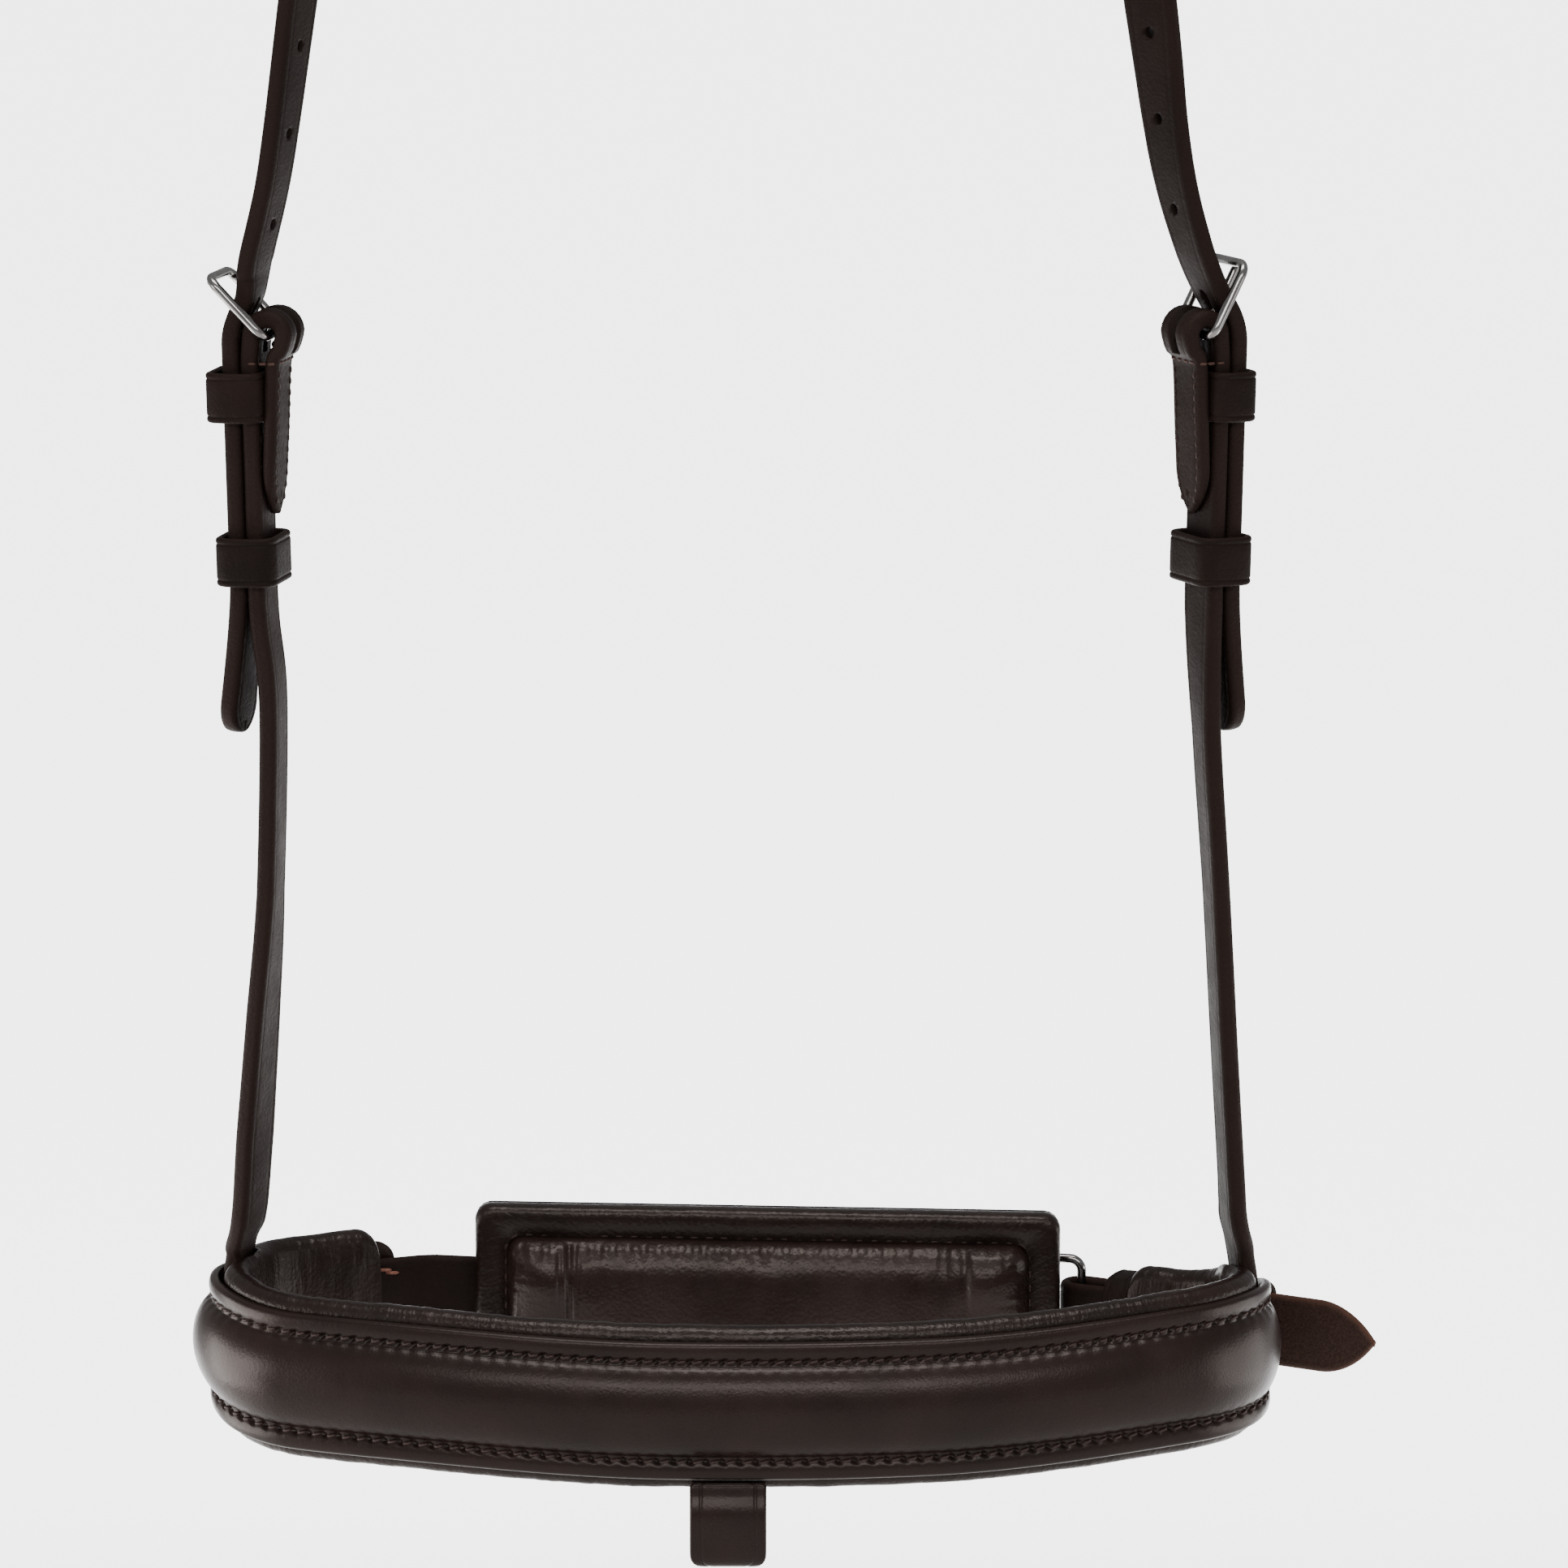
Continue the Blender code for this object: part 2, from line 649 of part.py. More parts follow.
def poll_strap():
    """One strap from tail to tail over the poll, punched with holes on both sides."""
    left, left_twists = half_poll_strap("left")
    right, right_twists = half_poll_strap("right")
    flat = [Vector((side * 0.4 * CROWN_FLAT, 0, STRAP_THICK / 2)) for side in (-1, 1)]
    line = left + flat + right[::-1]
    left_across = across_of(SIDES["left"], line, left_twists)
    right_across = across_of(SIDES["right"], line, right_twists)
    crown = len(left)

    def across(index):
        return left_across(index) if index <= crown else right_across(index)

    marks = (crown - 1, crown, crown + 1, crown + 2)
    piece = strap("poll_strap", line, across, STRAP_WIDTH, STRAP_THICK, LEATHER, TAIL_TIP, TAIL_TIP,
                  marks=marks)
    for side_name, half, twists in (("left", left, left_twists), ("right", right, right_twists)):
        punch(piece, side_name, half, across_of(SIDES[side_name], half, twists))


def crossing(half, stack, tilt):
    """The index where a strap's line meets the tongue that lies on the tilted buckle frame."""
    face = cos(tilt) * stack.out + sin(tilt) * stack.down
    reach = WIRE_RADIUS + GAP + TONGUE_RADIUS
    sides = [(point - stack.origin).dot(face) - reach for point in half]
    for index in range(1, len(half)):
        if sides[index - 1] > 0 >= sides[index]:
            return index
    return 0


def punch(piece, side_name, half, across):
    """Round adjusting holes a pitch apart, counted from the long one that the tongue is in."""
    stack = stack_of(side_name)
    runs = [0.0]
    for before, after in zip(half, half[1:]):
        runs.append(runs[-1] + (after - before).length)
    used = crossing(half, stack, SIDES[side_name]["frame_tilt"])
    for step in range(-HOLES_BELOW, HOLES_ABOVE + 1):
        target = runs[used] + step * HOLE_PITCH + (HOLE_SHIFT[side_name] if step else 0)
        index = min(range(1, len(half) - 1), key=lambda i: abs(runs[i] - target))
        along = (half[index + 1] - half[index - 1]).normalized()
        wide = across(index)
        wide = (wide - wide.dot(along) * along).normalized()
        length = TONGUE_HOLE_LENGTH if step == 0 else 2 * HOLE_RADIUS
        width = 2 * (TONGUE_RADIUS + GAP) if step == 0 else 2 * HOLE_RADIUS
        name = f"{side_name}_hole_{step + HOLES_BELOW + 1}"
        normal = along.cross(wide)
        cut(piece, slot_cutter(name, half[index], along, wide, normal, length, width, 2 * STRAP_THICK))


def cheek_buckle(side_name):
    """Frame, tongue, fixed keeper and loose keeper of one side."""
    values = SIDES[side_name]
    stack = stack_of(side_name)
    tilt = values["frame_tilt"]
    axis = pivot(side_name + "_buckle_axis", stack.origin)
    inner_half = STRAP_WIDTH / 2 + BUCKLE_SIDE_GAP
    hang(buckle_frame(side_name + "_buckle_frame", stack, tilt, BUCKLE_LENGTH, inner_half, STEEL), axis)
    hang(buckle_tongue(side_name + "_buckle_tongue", stack, tilt, BUCKLE_LENGTH, STEEL), axis)
    low = BAR_TO_STRAP - STRAP_THICK / 2
    high = BAR_TO_STRAP + LAYER + STRAP_THICK / 2
    inner = (low - GAP, high + GAP, STRAP_WIDTH / 2 + GAP)
    walls = (KEEPER_SKIVED, KEEPER_WALL, KEEPER_WALL)
    band(side_name + "_fixed_keeper", stack, FIXED_KEEPER_START, FIXED_KEEPER_HEIGHT, inner, walls, LEATHER)
    inner = (low - SLIDE_GAP, high + SLIDE_GAP, STRAP_WIDTH / 2 + SLIDE_GAP)
    walls = (KEEPER_WALL, KEEPER_WALL, KEEPER_WALL)
    keeper = band(side_name + "_loose_keeper", stack, LOOSE_KEEPER_START, LOOSE_KEEPER_HEIGHT, inner, walls,
                  LEATHER)
    hang(keeper, pivot(side_name + "_keeper_slide", stack.at(LOOSE_KEEPER_START, BAR_TO_STRAP)))


# Noseband pieces


def half_height(run, full, end, pad_end):
    """Half the height of a noseband layer, lower towards the ends and rounded at its corners."""
    half = full / 2 + (end - full) / 2 * ease(abs(run), TAPER_START, BEND_END)
    left = BEND_END + pad_end[0 if run < 0 else 1] - abs(run)
    if left < END_ROUND:
        half -= END_ROUND - sqrt(max(END_ROUND ** 2 - (END_ROUND - left) ** 2, 0))
    return half


def bulge(run):
    """How far the padded middle of the noseband stands proud."""
    side = BULGE_PROUD_LEFT if run < 0 else BULGE_PROUD_RIGHT
    front = BULGE_PROUD + (side - BULGE_PROUD) * ease(abs(run), 0.09, WIDEST)
    return front * (1 - ease(abs(run), WIDEST, WIDEST + BULGE_FADE))


def ring_stations(left_end, right_end):
    """Runs along the seam line: wide apart over the nose, close round the sides and at the rounded ends."""
    nose_run = NOSE_RADIUS * NOSE_TURN
    runs = [nose_run * index / 8 for index in range(-8, 9)]
    for side, end in ((-1, left_end), (1, right_end)):
        runs += [side * (nose_run + SIDE_RADIUS * SIDE_TURN * index / 13) for index in range(1, 14)]
        stop = BEND_END + end
        runs += [side * (stop - share * END_ROUND) for share in (0, 0.12, 0.45, 1.0)]
    low, high = -(BEND_END + left_end), BEND_END + right_end
    return sorted(run for run in runs if low <= run <= high)


BULGE_LEVELS = (-1.0, -0.88, -0.65, -0.33, 0.0, 0.33, 0.65, 0.88, 1.0)


def bulge_line(proud, half, lift):
    return [(proud * max(1 - level ** 2, 0) ** 0.7 + lift, half * level) for level in BULGE_LEVELS]


def noseband_outer():
    """The leather face: flat stitched flanges and a raised middle, with a bare end past the left padding."""
    ends = (LEFT_PAD_END + LEFT_FLAP, RIGHT_PAD_END)
    rings = []
    for run in ring_stations(*ends):
        half = half_height(run, OUTER_HEIGHT, OUTER_END_HEIGHT, ends)
        wide = min(BULGE_HEIGHT / 2, half * 0.8)
        proud = bulge(run)
        front = bulge_line(proud, wide, OUTER_THICK)
        back = bulge_line(proud, wide, 0.0)
        section = [(OUTER_THICK, -half), *front, (OUTER_THICK, half), (0, half), *reversed(back), (0, -half)]
        rings.append([ring(run, out, up) for out, up in section])
    return loft("noseband_outer", rings, LEATHER)


def noseband_core():
    """Filler that fills out the raised middle between the face and the padding."""
    half = BULGE_HEIGHT / 2 - 2 * GAP
    reach = WIDEST + 0.4 * BULGE_FADE
    rings = []
    for run in [run for run in ring_stations(LEFT_PAD_END, RIGHT_PAD_END) if abs(run) < reach]:
        proud = max(bulge(run) - GAP * 1.4, GAP)
        line = bulge_line(proud, half, 0.0)
        rings.append([ring(run, out, up) for out, up in line])
    return loft("noseband_core", rings, FOAM)


def round_back(half, depth_in, depth_out, radius):
    """The padding's round top, from its front face over to its back face."""
    middle = (depth_in + depth_out) / 2
    reach = (depth_out - depth_in) / 2
    angles = [radians(angle) for angle in (0, 45, 90, 135, 180)]
    return [(-middle + reach * cos(angle), half - radius + radius * sin(angle)) for angle in angles]


def both_ways(line):
    """A profile's top half joined to its mirror image below, ending where it began."""
    return line + [(out, -up) for out, up in reversed(line)]


def pad_layers():
    """The soft lining wrapped round the foam, and the foam."""
    ends = (LEFT_PAD_END, RIGHT_PAD_END)
    skins, fills = [], []
    radius = (PAD_DEPTH - GAP) / 2
    fill_front = GAP + LINING_THICK + GAP
    fill_back = PAD_DEPTH - LINING_THICK - GAP
    for run in ring_stations(*ends):
        half = half_height(run, PAD_HEIGHT, PAD_END_HEIGHT, ends)
        lip = min(LINING_LIP, half - radius - 2 * GAP)
        outside = [(-GAP, lip), *round_back(half, GAP, PAD_DEPTH, radius)]
        inside = [(-GAP - LINING_THICK, lip)]
        inside += round_back(half - LINING_THICK, GAP + LINING_THICK, PAD_DEPTH - LINING_THICK,
                             radius - LINING_THICK)
        section = both_ways(outside) + list(reversed(both_ways(inside)))
        skins.append([ring(run, out, up) for out, up in section])
        soft = [(-GAP, lip - GAP), (-fill_front, lip - GAP)]
        soft += round_back(half - LINING_THICK - GAP, fill_front, fill_back, (fill_back - fill_front) / 2)
        fills.append([ring(run, out, up) for out, up in both_ways(soft)])
    return loft("noseband_lining", skins, SOFT_LEATHER), loft("noseband_foam", fills, FOAM)


# Chin strap, ring and crank strap


def ring_frame():
    """Points of the two upright bars of the crank ring and the way from one to the other."""
    far = end_line(BEND_BAR, BEND_OUT, CRANK_HEIGHT)
    reach = WIRE_RADIUS + GAP + CHIN_THICK / 2
    near = Vector((RING_BAR_OUT, CHIN_Y + reach, CRANK_HEIGHT - NOSEBAND_DROP))
    return near, far


BEND_OUT = -POCKET_INSET + CRANK_BEND + CHIN_THICK / 2
BEND_BAR = (ring_point_in_plan(BEND_END)[0] - RING_BAR_OUT - RING_LENGTH * 0.98
            + BEND_OUT * sin(END_TURN)) / -cos(END_TURN)


def upright(_):
    return Z_AXIS


def crank_ring():
    """A rectangle of round bar between the chin strap and the crank strap."""
    near, far = ring_frame()
    along = (far - near).normalized()
    stack = Stack(near, -along, along.cross(Z_AXIS))
    half = RING_HEIGHT / 2 - WIRE_RADIUS
    piece = buckle_frame("crank_ring", stack, 0.0, (far - near).length, half, STEEL)
    hang(piece, pivot("crank_ring_axis", near))


def chin_level(x):
    """Height of the chin strap's middle, which falls a little from the left end to the ring."""
    left = ring(-(BEND_END + LEFT_PAD_END), -POCKET_INSET, 0)
    right = CRANK_HEIGHT - NOSEBAND_DROP
    share = min(max((x - left.x) / (RING_BAR_OUT - 0.012 - left.x), 0.0), 1.0)
    return left.z + (right - left.z) * share


def chin_strap():
    """From its pocket in the left end, behind the chin pad and round the ring's near bar."""
    near, _ = ring_frame()
    start = pocket_line(-1, LEFT_PAD_END, ring_rise)
    marks = (-0.0955, -0.0875, -0.080, -0.050, 0.0, 0.040, RING_BAR_OUT - 0.012, RING_BAR_OUT)
    bows = (0.0046, 0.0006, 0, 0, 0, 0, 0, 0)
    points = start + [Vector((x, CHIN_Y - bow, chin_level(x))) for x, bow in zip(marks, bows)]
    line = smooth_line(points)
    reach = near.y - CHIN_Y
    x_axis = Vector((1, 0, 0))
    line += arc(near, -Y_AXIS, x_axis, reach, radians(10), radians(170), radians(10))
    back = CHIN_Y + CHIN_THICK + GAP
    ends = ((0.0, near.y + reach), (0.006, near.y + reach - 0.0008), (0.014, back + 0.0004), (0.018, back),
            (CHIN_TURNBACK, back))
    line += smooth_line([Vector((RING_BAR_OUT - run, y, near.z)) for run, y in ends])
    strap("chin_strap", line, upright, CHIN_WIDTH, CHIN_THICK, LEATHER, last_tip=0.008)
    return pocket_for("chin_pocket", -1, LEFT_PAD_END, ring_rise)


def pocket_line(side, pad_end, level):
    """The middle of a strap end sewn in the padding, from its cut end to the mouth of its pocket."""
    stop = BEND_END + pad_end
    line = []
    for index in range(13):
        run = side * (stop - POCKET_DEPTH + POCKET_DEPTH * index / 12)
        line.append(ring(run, -POCKET_INSET, level(run) - ring_rise(run)))
    return line


def pocket_for(name, side, pad_end, level):
    """The room in the padding for a sewn-in strap end, open towards the leather face."""
    stop = BEND_END + pad_end
    first = stop - POCKET_DEPTH - POCKET_END_GAP
    runs = [side * (first + (stop + END_ROUND - first) * index / 8) for index in range(9)]
    front, back = POCKET_OPEN - POCKET_INSET + CHIN_THICK / 2 + GAP, -POCKET_INSET - CHIN_THICK / 2 - GAP
    half = CHIN_WIDTH / 2 + SLIDE_GAP
    rings = []
    for run in runs:
        middle = level(run) - ring_rise(run)
        corners = ((front, -half), (front, half), (back, half), (back, -half))
        rings.append([ring(run, out, up + middle) for out, up in corners])
    return hide(loft(name, rings, LEATHER))


CHAPE_BOTTOM = OUTER_THICK + 1.5 * GAP + CHAPE_THICK / 2
CHAPE_AXIS_OUT = OUTER_THICK + 1.5 * GAP + CHAPE_THICK + GAP + WIRE_RADIUS + GAP
CHAPE_FOLD = CHAPE_AXIS_OUT - CHAPE_BOTTOM
CRANK_OVER = CHAPE_AXIS_OUT + CHAPE_FOLD + CHAPE_THICK / 2 + GAP + CHIN_THICK / 2


def crank_stack():
    """The crank buckle's layers: down runs forward along the noseband's end, out points away from it."""
    origin = end_line(CHAPE_BAR, CHAPE_AXIS_OUT, CRANK_HEIGHT)
    forward = (end_line(0, 0, 0) - end_line(1, 0, 0)).normalized()
    outward = (end_line(0, 1, 0) - end_line(0, 0, 0)).normalized()
    return Stack(origin, forward, outward)


def crank_frame_tilt():
    leg = BEND_OUT + CRANK_BEND + CHIN_THICK / 2
    clear = leg + CHIN_THICK / 2 + WIRE_RADIUS + GAP + CRANK_FRAME_LENGTH * sin(radians(3))
    return asin((clear - CHAPE_AXIS_OUT) / CRANK_FRAME_LENGTH)


def crank_chape():
    """The sewn-on piece that holds the crank buckle: along the noseband, round the bar and back."""
    start = BEND_END + CHAPE_BAR
    bottom = [ring(start - CHAPE_TURNBACK * share, CHAPE_BOTTOM + bulge(start - CHAPE_TURNBACK * share), 0)
              for share in (1.0, 0.75, 0.5, 0.25, 0.0)]
    for point in bottom:
        point.z = CRANK_HEIGHT - NOSEBAND_DROP
    stack = crank_stack()
    line = smooth_line(bottom)
    line += arc(stack.origin, -stack.out, -stack.down, CHAPE_FOLD, radians(10), radians(170), radians(10))
    spread = CHAPE_THICK + KEEPER_SKIVED + 3 * GAP
    marks = ((0.0, CHAPE_BOTTOM + 2 * CHAPE_FOLD), (0.004, CHAPE_BOTTOM + spread + 0.0009),
             (0.0085, CHAPE_BOTTOM + spread), (0.012, CHAPE_BOTTOM + spread),
             (CHAPE_TURNBACK - 0.004, CHAPE_BOTTOM + spread))
    over = [ring(start - run, out + bulge(start - run), 0) for run, out in marks]
    for point in over:
        point.z = CRANK_HEIGHT - NOSEBAND_DROP
    line += smooth_line(over)
    piece = strap("crank_chape", line, upright, CHIN_WIDTH, CHAPE_THICK, LEATHER)
    half_slot = TONGUE_RADIUS + TONGUE_SLOT_GAP
    below = WIRE_RADIUS + GAP + 2 * TONGUE_RADIUS + 0.0006
    top = CHAPE_FOLD + CHAPE_THICK
    rings = []
    for down in (-top, below):
        corners = ((-top, -half_slot), (top, -half_slot), (top, half_slot), (-top, half_slot))
        rings.append([stack.at(down, out, wide) for out, wide in corners])
    cut(piece, loft("chape_slot", rings, LEATHER))


def crank_level(_):
    return CRANK_HEIGHT


def crank_line():
    """The crank strap's dense line: pocket, ring bend, up over the buckle bar and on to its tail tip."""
    start = pocket_line(1, RIGHT_PAD_END, crank_level)
    line = smooth_line(start + [end_line(BEND_BAR - 0.004, -POCKET_INSET, CRANK_HEIGHT),
                                end_line(BEND_BAR, -POCKET_INSET, CRANK_HEIGHT)])
    centre = end_line(BEND_BAR, BEND_OUT, CRANK_HEIGHT)
    stack = crank_stack()
    radius = CRANK_BEND + CHIN_THICK / 2
    line += arc(centre, -stack.out, -stack.down, radius, radians(10), radians(170), radians(10))
    leg = BEND_OUT + radius
    frame_end = CHAPE_BAR + CRANK_FRAME_LENGTH
    marks = [(BEND_BAR, leg), (BEND_BAR - 0.004, leg), (frame_end + 0.001, leg), (frame_end - 0.002, leg + 0.0002),
             (CHAPE_BAR + 0.001, CRANK_OVER), (CHAPE_BAR - 0.003, CRANK_OVER + 0.0003),
             (CHAPE_BAR - 0.012, CRANK_OVER - 0.0002), (-0.030, CRANK_OVER - 0.0010),
             (-CRANK_TAIL, CRANK_OVER - 0.0024)]
    return line + smooth_line([end_line(place, out, CRANK_HEIGHT) for place, out in marks])


def crank_strap():
    """The strap that draws the noseband closed through the ring."""
    line = crank_line()
    piece = strap("crank_strap", line, upright, CHIN_WIDTH, CHIN_THICK, LEATHER, last_tip=CRANK_TIP)
    stack = crank_stack()
    tilt = crank_frame_tilt()
    half = line[len(line) // 3:][::-1]
    index = crossing(half, stack, tilt)
    along = (half[index + 1] - half[index - 1]).normalized()
    normal = along.cross(Z_AXIS)
    width = 2 * (TONGUE_RADIUS + GAP)
    cut(piece, slot_cutter("crank_used_hole", half[index], along, Z_AXIS, normal, CRANK_HOLE_LENGTH, width,
                           3 * CHIN_THICK))
    return pocket_for("crank_pocket", 1, RIGHT_PAD_END, crank_level)


def crank_fixed_keeper():
    """A keeper sewn in the chape, bent with the noseband's end, that holds the crank strap's tail."""
    low = CHAPE_BOTTOM + CHAPE_THICK / 2 + 1.5 * GAP + KEEPER_SKIVED
    half = CHIN_WIDTH / 2 + SLIDE_GAP
    lift = CRANK_HEIGHT
    first = BEND_END + CHAPE_BAR - CRANK_FIXED_START

    def outline(run, grow_low, grow):
        turned = (BEND_END - run) / SIDE_RADIUS
        tail = (SIDE_RADIUS + CRANK_OVER) / cos(turned) - SIDE_RADIUS
        high = tail + CHIN_THICK / 2 + SLIDE_GAP
        corners = ((low - grow_low, -half - grow), (high + grow, -half - grow), (high + grow, half + grow),
                   (low - grow_low, half + grow))
        return [ring(run, out, up + lift - ring_rise(run)) for out, up in corners]

    runs = [first - CRANK_FIXED_WIDTH * index / 3 for index in range(4)]
    outside = [outline(run, KEEPER_SKIVED, KEEPER_WALL) for run in runs]
    inside = [outline(run, 0, 0) for run in runs]
    return loft("crank_fixed_keeper", outside + inside[::-1], LEATHER, closed=True)


def crank_buckle():
    """Frame, tongue and the two keepers of the crank strap."""
    stack = crank_stack()
    tilt = crank_frame_tilt()
    inner_half = CHIN_WIDTH / 2 + BUCKLE_SIDE_GAP
    axis = pivot("crank_buckle_axis", stack.origin)
    hang(buckle_frame("crank_buckle_frame", stack, tilt, CRANK_FRAME_LENGTH, inner_half, STEEL), axis)
    hang(buckle_tongue("crank_buckle_tongue", stack, tilt, CRANK_FRAME_LENGTH, STEEL), axis)
    crank_fixed_keeper()
    leg = BEND_OUT + CRANK_BEND + CHIN_THICK / 2
    base = Stack(end_line(0, 0, CRANK_HEIGHT), stack.down, stack.out)
    low = -POCKET_INSET - CHIN_THICK / 2 - SLIDE_GAP
    high = leg + CHIN_THICK / 2 + SLIDE_GAP
    start = -(RIGHT_PAD_END + SLIDE_GAP + CRANK_KEEPER_WIDTH)
    half = CHIN_WIDTH / 2 + SLIDE_GAP
    walls = (KEEPER_WALL, KEEPER_WALL, KEEPER_WALL)
    keeper = band("crank_loose_keeper", base, start, CRANK_KEEPER_WIDTH, (low, high, half), walls, LEATHER)
    hang(keeper, pivot("crank_keeper_slide", base.at(start, high)))


# Chin pad


def rounded_outline(length, height, corner):
    """Corner points of a rectangle with round corners, as centre offsets along and up."""
    points = []
    for along, up, turn in ((1, -1, -90), (1, 1, 0), (-1, 1, 90), (-1, -1, 180)):
        for angle in (0, 30, 60, 90):
            way = radians(turn + angle)
            points.append((along * (length / 2 - corner) + corner * cos(way),
                           up * (height / 2 - corner) + corner * sin(way)))
    return points


def chin_layout():
    """The chin pad's centre on the chin strap's front face, and its slide axis."""
    back = CHIN_Y - CHIN_THICK / 2 - SLIDE_GAP - PAD_LOOP_WALL - GAP
    return Vector((PAD_CENTRE_OUT, back, chin_level(PAD_CENTRE_OUT) + CHIN_PAD_RISE))


def pad_ring(centre, shrink, front, corner_grow=0.0):
    """One outline of the pad, shrunk all round and set forward of the pad's back."""
    corner = max(CHIN_PAD_CORNER - shrink * 0.5 + corner_grow, 0.002)
    outline = rounded_outline(CHIN_PAD_LENGTH - 2 * shrink, CHIN_PAD_HEIGHT - 2 * shrink, corner)
    return [centre + Vector((along, -front, up)) for along, up in outline]


def chin_pad():
    """Backing, foam and the soft front leather with its raised panel, and two loops behind."""
    centre = chin_layout()
    slide = pivot("chin_pad_slide", centre)
    backing = loft("chin_pad_back", [pad_ring(centre, 0, 0), pad_ring(centre, 0, CHIN_BACKING)], LEATHER)
    hang(backing, slide)
    base = CHIN_BACKING + GAP
    face = base + CHIN_PAD_EDGE
    border = CHIN_PAD_BORDER
    crown = ((border, 0.0), (border + 0.0015, 0.45), (border + 0.005, 0.85), (border + 0.011, 1.0))
    front = [pad_ring(centre, 0, base), pad_ring(centre, 0.0004, base + CHIN_PAD_EDGE * 0.6),
             pad_ring(centre, 0.002, face)]
    front += [pad_ring(centre, shrink, face + CHIN_PAD_CROWN * share) for shrink, share in crown]
    skin = CHIN_PAD_SKIN
    inner = [pad_ring(centre, border + 0.001, base)]
    inner += [pad_ring(centre, shrink + skin, face + CHIN_PAD_CROWN * share - skin) for shrink, share in crown[1:]]
    cover = loft("chin_pad_cover", list(reversed(inner)) + front, SOFT_LEATHER)
    hang(cover, slide)
    soft = [pad_ring(centre, border + 0.001 + GAP, base)]
    soft += [pad_ring(centre, shrink + skin + GAP, face + CHIN_PAD_CROWN * share - skin - GAP)
             for shrink, share in crown[1:]]
    hang(loft("chin_pad_foam", soft, FOAM), slide)
    half = CHIN_WIDTH / 2 + SLIDE_GAP + 0.0012
    for name, side in (("chin_pad_left_loop", -1), ("chin_pad_right_loop", 1)):
        x = PAD_CENTRE_OUT + side * PAD_LOOP_SPACING / 2
        middle = Vector((x - PAD_LOOP_WIDTH / 2, CHIN_Y, chin_level(x)))
        stack = Stack(middle, Vector((1, 0, 0)), Y_AXIS)
        reach = CHIN_THICK / 2 + SLIDE_GAP
        walls = (PAD_LOOP_WALL, PAD_LOOP_WALL, PAD_LOOP_WALL)
        loop = band(name, stack, 0, PAD_LOOP_WIDTH, (-reach, reach, half), walls, LEATHER)
        hang(loop, slide)


# Flash loop


def flash_loop():
    """A folded strap under the nose: two layers from the seam, open between them for the flash strap."""
    top = -OUTER_HEIGHT / 2 - GAP - FLASH_ROOT
    axis = Vector((FLASH_MIDDLE, -WIDEST_Y - FLASH_ROOT + GAP, top - NOSEBAND_DROP))
    slot = FLASH_SLOT / 2
    outer = slot + FLASH_THICK
    bottom = FLASH_DROP - FLASH_ROOT
    neck = FLASH_ROOT + 0.0026
    outside = [(FLASH_ROOT, 0.0), (FLASH_ROOT, -0.001), (outer, -neck), (outer, -bottom + outer * 0.6),
               (outer * 0.62, -bottom + outer * 0.12), (0.0, -bottom)]
    inside = [(0.0, -neck - 0.0012), (slot * 0.7, -neck - 0.0022), (slot, -neck - 0.0040),
              (slot, -bottom + outer * 0.6), (slot * 0.62, -bottom + FLASH_THICK + slot * 0.12),
              (0.0, -bottom + FLASH_THICK)]
    crest = [(0.0, FLASH_ROOT), (FLASH_ROOT * 0.7, FLASH_ROOT * 0.7)]
    right = crest + outside
    around = right + [(-out, up) for out, up in reversed(right[1:-1])]
    hole = inside + [(-out, up) for out, up in reversed(inside[1:-1])]
    rings = []
    for across in (-FLASH_WIDTH / 2, FLASH_WIDTH / 2):
        rings.append([axis + Vector((across, out, up)) for out, up in around])
    piece = loft("flash_loop", rings, LEATHER)
    rings = []
    for across in (-FLASH_WIDTH, FLASH_WIDTH):
        rings.append([axis + Vector((across, out, up)) for out, up in hole])
    cutter = loft("flash_slot_cut", rings, LEATHER)
    hinge = pivot("flash_loop_axis", axis)
    cut(piece, cutter)
    hang(piece, hinge)


def main():
    for old in list(bpy.data.objects):
        bpy.data.objects.remove(old, do_unlink=True)
    poll_strap()
    pockets = []
    for side_name in SIDES:
        cheek_strap(side_name)
        cheek_buckle(side_name)
        pockets.append(strap_tab(side_name))
    noseband_outer()
    noseband_core()
    lining, foam = pad_layers()
    pockets.append(chin_strap())
    pockets.append(crank_strap())
    for pocket in pockets:
        cut(lining, pocket)
        cut(foam, pocket)
    crank_ring()
    crank_chape()
    crank_buckle()
    chin_pad()
    flash_loop()


main()
